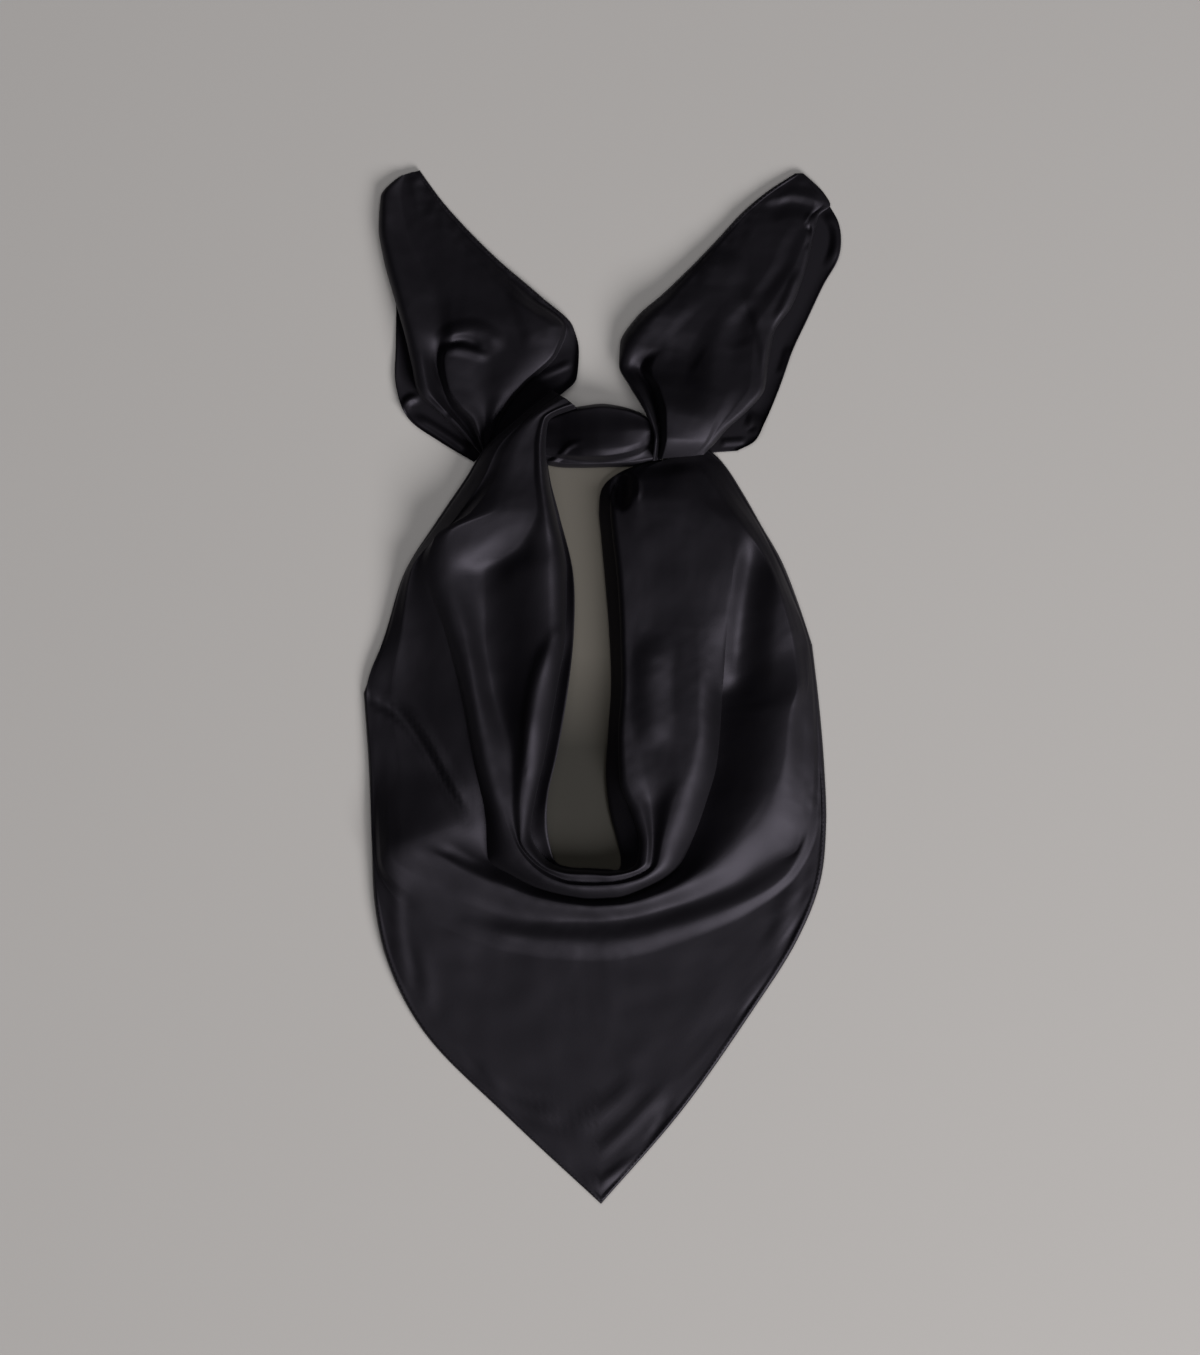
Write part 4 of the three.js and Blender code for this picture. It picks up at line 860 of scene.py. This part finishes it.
def upper_ply(name, tables, folds, creases, hem_side, hem_end):
    s = np.arange((len(tables[0][3]) - 1) * TAIL_ROWS_EACH + 1) / TAIL_ROWS_EACH
    lines = [traced(table, s) for *_, table in tables]
    top = surface(lines, [row[1] for row in tables[1:]], [row[2] for row in tables[1:]], TAIL_EDGE_ROLL)
    left = np.linalg.norm(top[..., :2] - top[:, :1, :2], axis=-1)
    right = np.linalg.norm(top[..., :2] - top[:, -1:, :2], axis=-1)
    settle = smooth(left / TAIL_SETTLED) * smooth(right / TAIL_SETTLED)
    top[..., 2] += folds_height(folds, top[..., 0], top[..., 1]) * settle
    for lift, size, seed in TAIL_UNEVENNESS:
        top[..., 2] += lift * crinkle(top[..., 0], top[..., 1], size, seed) * settle
    inset = left if hem_side == "left" else right
    hemmed = smooth(s / TAIL_HEM_START) * (1 - smooth((s - hem_end) / HEM_FADE))
    top[..., 2] += hem_lift(top[..., 0], top[..., 1], inset, hemmed[:, None])
    top[..., 2] = np.maximum(top[..., 2], OVER_PLY + LEAST_WALL)
    rows = top[(s > TAIL_HEM_START) & (s < hem_end)]
    line = hem_line(rows if hem_side == "left" else rows[:, ::-1])
    columns = [sum(row[1] for row in tables[:i + 1]) for i in creases]
    return ribbon(name, top, under_of(top, OVER_PLY), columns), line


def lower_ply(name, stations, folds):
    each = LOWER_TAIL_ROWS_EACH
    steps = [(i, j / each) for i in range(len(stations) - 1) for j in range(each)]
    steps.append((len(stations) - 2, 1.0))
    s = np.array([i + t for i, t in steps])
    stops = np.arange(len(stations))
    left = place([on_curve([row["left"] for row in stations], i, t) for i, t in steps])
    right = place([on_curve([row["right"] for row in stations], i, t) for i, t in steps])
    values = [[row["edges"][0], row["middle"], row["edges"][1], *row["rolls"]] for row in stations]
    left_edge, middle, right_edge, left_roll, right_roll = between(stops, values, s).T[..., None]
    share = np.arange(LOWER_TAIL_COLUMNS + 1)[None, :] / LOWER_TAIL_COLUMNS
    points = mix(left[:, None, :], right[:, None, :], share[..., None])
    width = np.linalg.norm(right - left, axis=1)[:, None]
    left_fall = roll_fall(share * width / left_roll)
    right_fall = roll_fall((1 - share) * width / right_roll)
    height = mix(mix(middle, left_edge, left_fall), right_edge, right_fall)
    height = height + folds_height(folds, points[..., 0], points[..., 1])
    top = np.concatenate([points, np.maximum(height, WALL)[..., None]], axis=-1)
    return ribbon(name, top, under_of(top, 0))


left_over, left_hem = upper_ply(
    "left_tail_over", LEFT_TAIL, LEFT_TAIL_FOLDS, LEFT_CREASES, "right", LEFT_HEM_END)
right_over, right_hem = upper_ply(
    "right_tail_over", RIGHT_TAIL, RIGHT_TAIL_FOLDS, RIGHT_CREASES, "left", RIGHT_HEM_END)
left_under = lower_ply("left_tail_under", LEFT_PLY_STATIONS, LEFT_PLY_FOLDS)
right_under = lower_ply("right_tail_under", RIGHT_PLY_STATIONS, RIGHT_PLY_FOLDS)
for node, ply, area, flat in [
    ("left_tail", left_over, 0.0117, (0.12, 0.17)),
    ("left_tail_ply", left_under, 0.0083, (0.09, 0.16)),
    ("right_tail", right_over, 0.0122, (0.12, 0.18)),
    ("right_tail_ply", right_under, 0.006, (0.075, 0.15)),
]:
    dress(ply, node)
stitches("left_tail_stitches", left_hem, "left_tail")
stitches("right_tail_stitches", right_hem, "right_tail")


# The knot
# The bundle of cloth that crosses from the left wrap to the right tail, wound once round itself: a
# broad turn over the top, a brighter fold along its lower side and a tucked edge below that.
KNOT = [
    ("back", 0, "", [
        (0, 546, 418, 1), (1, 560, 412, 1), (2, 572, 408, 1), (3, 585, 406, 1), (4, 602, 404, 1),
        (5, 622, 407, 1), (6, 638, 412, 1), (7, 650, 419, 1), (8, 660, 424, 1)]),
    ("crest", 16, "roll up", [
        (0, 546, 423, 8), (1, 560, 418, 11), (2, 572, 414, 14), (3, 585, 412, 16), (4, 602, 410, 17),
        (5, 622, 412.5, 17), (6, 638, 417.5, 16), (7, 650, 424, 16), (8, 660, 427, 15)]),
    ("back of the fold", 20, "ease", [
        (0, 546, 438, 9), (1, 560, 437, 12), (2, 572, 436, 15.5), (3, 585, 437, 18.6), (4, 602, 437, 20.4),
        (5, 622, 435, 20.2), (6, 638, 433, 18.5), (7, 650, 432, 16.5), (8, 660, 432, 15)]),
    ("crest of the fold", 8, "ease", [
        (0, 546, 447, 9.2), (1, 560, 448, 12.2), (2, 572, 449, 15.8), (3, 585, 450, 19.4),
        (4, 602, 450, 21.4), (5, 622, 448, 20.6), (6, 638, 444, 18), (7, 650, 437, 15.5),
        (8, 660, 437, 14)]),
    ("brow of the fold", 12, "ease", [
        (0, 546, 453, 8.4), (1, 560, 455, 11.4), (2, 572, 456.5, 15), (3, 585, 457.5, 18.2),
        (4, 602, 457.5, 20), (5, 622, 455, 19), (6, 638, 450, 16), (7, 650, 445, 13), (8, 660, 444, 12)]),
    ("foot of the fold", 8, "ease", [
        (0, 546, 457, 6.6), (1, 560, 459.5, 7.6), (2, 572, 461, 8.6), (3, 585, 462, 9.6), (4, 602, 462, 10),
        (5, 622, 459.5, 9.6), (6, 638, 456, 8.6), (7, 650, 450, 8), (8, 660, 450, 7)]),
    ("lower turn", 10, "ease", [
        (0, 546, 461, 6.6), (1, 560, 463, 7.4), (2, 572, 464, 8), (3, 585, 464.5, 8.4), (4, 602, 464, 8.4),
        (5, 622, 463, 8), (6, 638, 461, 7.6), (7, 650, 459, 7), (8, 660, 458, 6)]),
    ("front", 10, "roll down", [
        (0, 546, 465, 1), (1, 560, 467.5, 1), (2, 572, 468, 1), (3, 585, 468, 1), (4, 602, 467.5, 1),
        (5, 622, 467, 1), (6, 638, 466, 1), (7, 650, 464, 1), (8, 660, 462, 1)]),
]
KNOT_FOLDS = [
    fold("edge of the tucked fold", 1.4, 2, 2.6, ends=(0.8, 0.2), path=[
        (549, 464), (560, 457), (569, 448), (580, 444)]),
]
KNOT_BASE = 0.3
KNOT_EDGE_ROLL = 4.0
KNOT_ROWS_EACH = 12

# The shares of the knot's width over which its fold starts at the back and ends at the front.
KNOT_FADES = (0.1, 0.06)

steps = np.arange((len(KNOT[0][3]) - 1) * KNOT_ROWS_EACH + 1) / KNOT_ROWS_EACH
columns, kinds = [row[1] for row in KNOT[1:]], [row[2] for row in KNOT[1:]]
knot_top = surface([traced(table, steps) for *_, table in KNOT], columns, kinds, KNOT_EDGE_ROLL)
across = np.linspace(0, 1, knot_top.shape[1])
raised = folds_height(KNOT_FOLDS, knot_top[..., 0], knot_top[..., 1])
knot_top[..., 2] += raised * smooth(across / KNOT_FADES[0]) * smooth((1 - across) / KNOT_FADES[1])
knot_base = knot_top.copy()
knot_base[..., 2] = KNOT_BASE
bundle = ribbon("knot_bundle", knot_top, knot_base)
dress(bundle, "knot")


# The table, the lights and the camera
# A pale surface, plain except for shade painted into its colour inside the neck opening, deepest
# towards the lower end of the opening, a soft key light from the lower right of the picture, a wide
# overhead fill, and a camera straight above that frames the scarf as in the photograph.
FLOOR_SIZE = 14.0
FLOOR_COLOUR = (0.325, 0.312, 0.306, 1)
FLOOR_ROUGHNESS = 0.8
CLOUD_SCALE = 2.0
CLOUD_SHADE = 0.97
# Painted shade on the table inside the neck opening: where it lies, how it deepens towards the lower end, and
# its two colours.
OPENING_CENTRE = (587, 664)
OPENING_REACH = (62, 232)
OPENING_EDGE = 6
DEEPER_SLOPE = -2.5
DEEPER_START = 0.1
PAINTED_OPENING_SHADE = (0.075, 0.068, 0.058, 1)
PAINTED_OPENING_DEEP_SHADE = (0.017, 0.0155, 0.0125, 1)
PICTURE = (1200, 1355)
CAMERA_HEIGHT = 2.2
SENSOR = 36.0
KEY = dict(at=(2.1, -2.5, 2.2), size=2.0, watts=204, colour=(1, 0.985, 0.97))
OVERHEAD = dict(at=(0.0, 0.3, 2.6), size=2.4, watts=45, glossy=False)
SCARF_CENTRE = (0, 0, 0)
STUDIO_COLOUR = (0.9, 0.93, 1, 1)
STUDIO_LIGHT = 0.02


def floor_plane():
    graph = Graph("pale table")
    place_at = graph.node("ShaderNodeTexCoord").outputs["Object"]
    cloud = graph.node("ShaderNodeTexNoise", Vector=place_at, Scale=CLOUD_SCALE, Detail=2.0)
    mixed = graph.node("ShaderNodeMix", {"data_type": "RGBA"})
    graph.put(mixed.inputs["Factor"], cloud.outputs["Fac"])
    graph.put(mixed.inputs[6], FLOOR_COLOUR)
    graph.put(mixed.inputs[7], tuple(CLOUD_SHADE * c for c in FLOOR_COLOUR[:3]) + (1,))
    # Painted shade: inside the neck opening the table's colour is darkened, more towards the opening's lower
    # end, standing in for the shade cast by the cloth round it.
    spot = graph.node("ShaderNodeSeparateXYZ", Vector=place_at)
    centre = (place(OPENING_CENTRE) * MILLIMETRE).tolist()
    across, along = (size * UNIT * MILLIMETRE for size in OPENING_REACH)
    x = (Wire(graph, spot.outputs["X"]) + -centre[0]) * (1 / across)
    y = (Wire(graph, spot.outputs["Y"]) + -centre[1]) * (1 / along)
    away = x * x * x * x + y * y * y * y
    inside = graph.node("ShaderNodeClamp", Value=(away * -1.0 + 1.0) * OPENING_EDGE)
    lower = graph.node("ShaderNodeClamp", Value=y * DEEPER_SLOPE + DEEPER_START)
    shade = graph.node("ShaderNodeMix", {"data_type": "RGBA"})
    graph.put(shade.inputs["Factor"], lower.outputs["Result"])
    graph.put(shade.inputs[6], PAINTED_OPENING_SHADE)
    graph.put(shade.inputs[7], PAINTED_OPENING_DEEP_SHADE)
    shaded = graph.node("ShaderNodeMix", {"data_type": "RGBA"})
    graph.put(shaded.inputs["Factor"], inside.outputs["Result"])
    graph.put(shaded.inputs[6], mixed.outputs[2])
    graph.put(shaded.inputs[7], shade.outputs[2])
    graph.put(graph.surface.inputs["Base Color"], shaded.outputs[2])
    graph.surface.inputs["Roughness"].default_value = FLOOR_ROUGHNESS
    half = FLOOR_SIZE / 2
    mesh = bpy.data.meshes.new("table")
    corners = [(-half, -half, 0), (half, -half, 0), (half, half, 0), (-half, half, 0)]
    mesh.from_pydata(corners, [], [(0, 1, 2, 3)])
    mesh.materials.append(graph.material)
    table = bpy.data.objects.new("table", mesh)
    bpy.context.collection.objects.link(table)


def area_light(name, at, size, watts, colour=(1, 1, 1), glossy=True):
    light = bpy.data.lights.new(name, "AREA")
    light.shape, light.size, light.energy, light.color = "DISK", size, watts, colour
    lamp = bpy.data.objects.new(name, light)
    lamp.location = at
    lamp.visible_glossy = glossy
    lamp.rotation_euler = (Vector(SCARF_CENTRE) - Vector(at)).to_track_quat("-Z", "Y").to_euler()
    bpy.context.collection.objects.link(lamp)


floor_plane()
area_light("key", **KEY)
area_light("overhead", **OVERHEAD)

world = bpy.data.worlds.new("studio")
world.use_nodes = True
world.node_tree.nodes["Background"].inputs["Color"].default_value = STUDIO_COLOUR
world.node_tree.nodes["Background"].inputs["Strength"].default_value = STUDIO_LIGHT
bpy.context.scene.world = world
bpy.context.scene.view_settings.view_transform = "Standard"

camera_data = bpy.data.cameras.new("camera")
camera = bpy.data.objects.new("camera", camera_data)
view_height = PICTURE[1] * UNIT * MILLIMETRE
camera_data.sensor_width = SENSOR
camera_data.lens = SENSOR * CAMERA_HEIGHT / view_height
aim = place([PICTURE[0] / 2, PICTURE[1] / 2]) * MILLIMETRE
camera.location = (aim[0], aim[1], CAMERA_HEIGHT)
bpy.context.collection.objects.link(camera)
bpy.context.scene.camera = camera
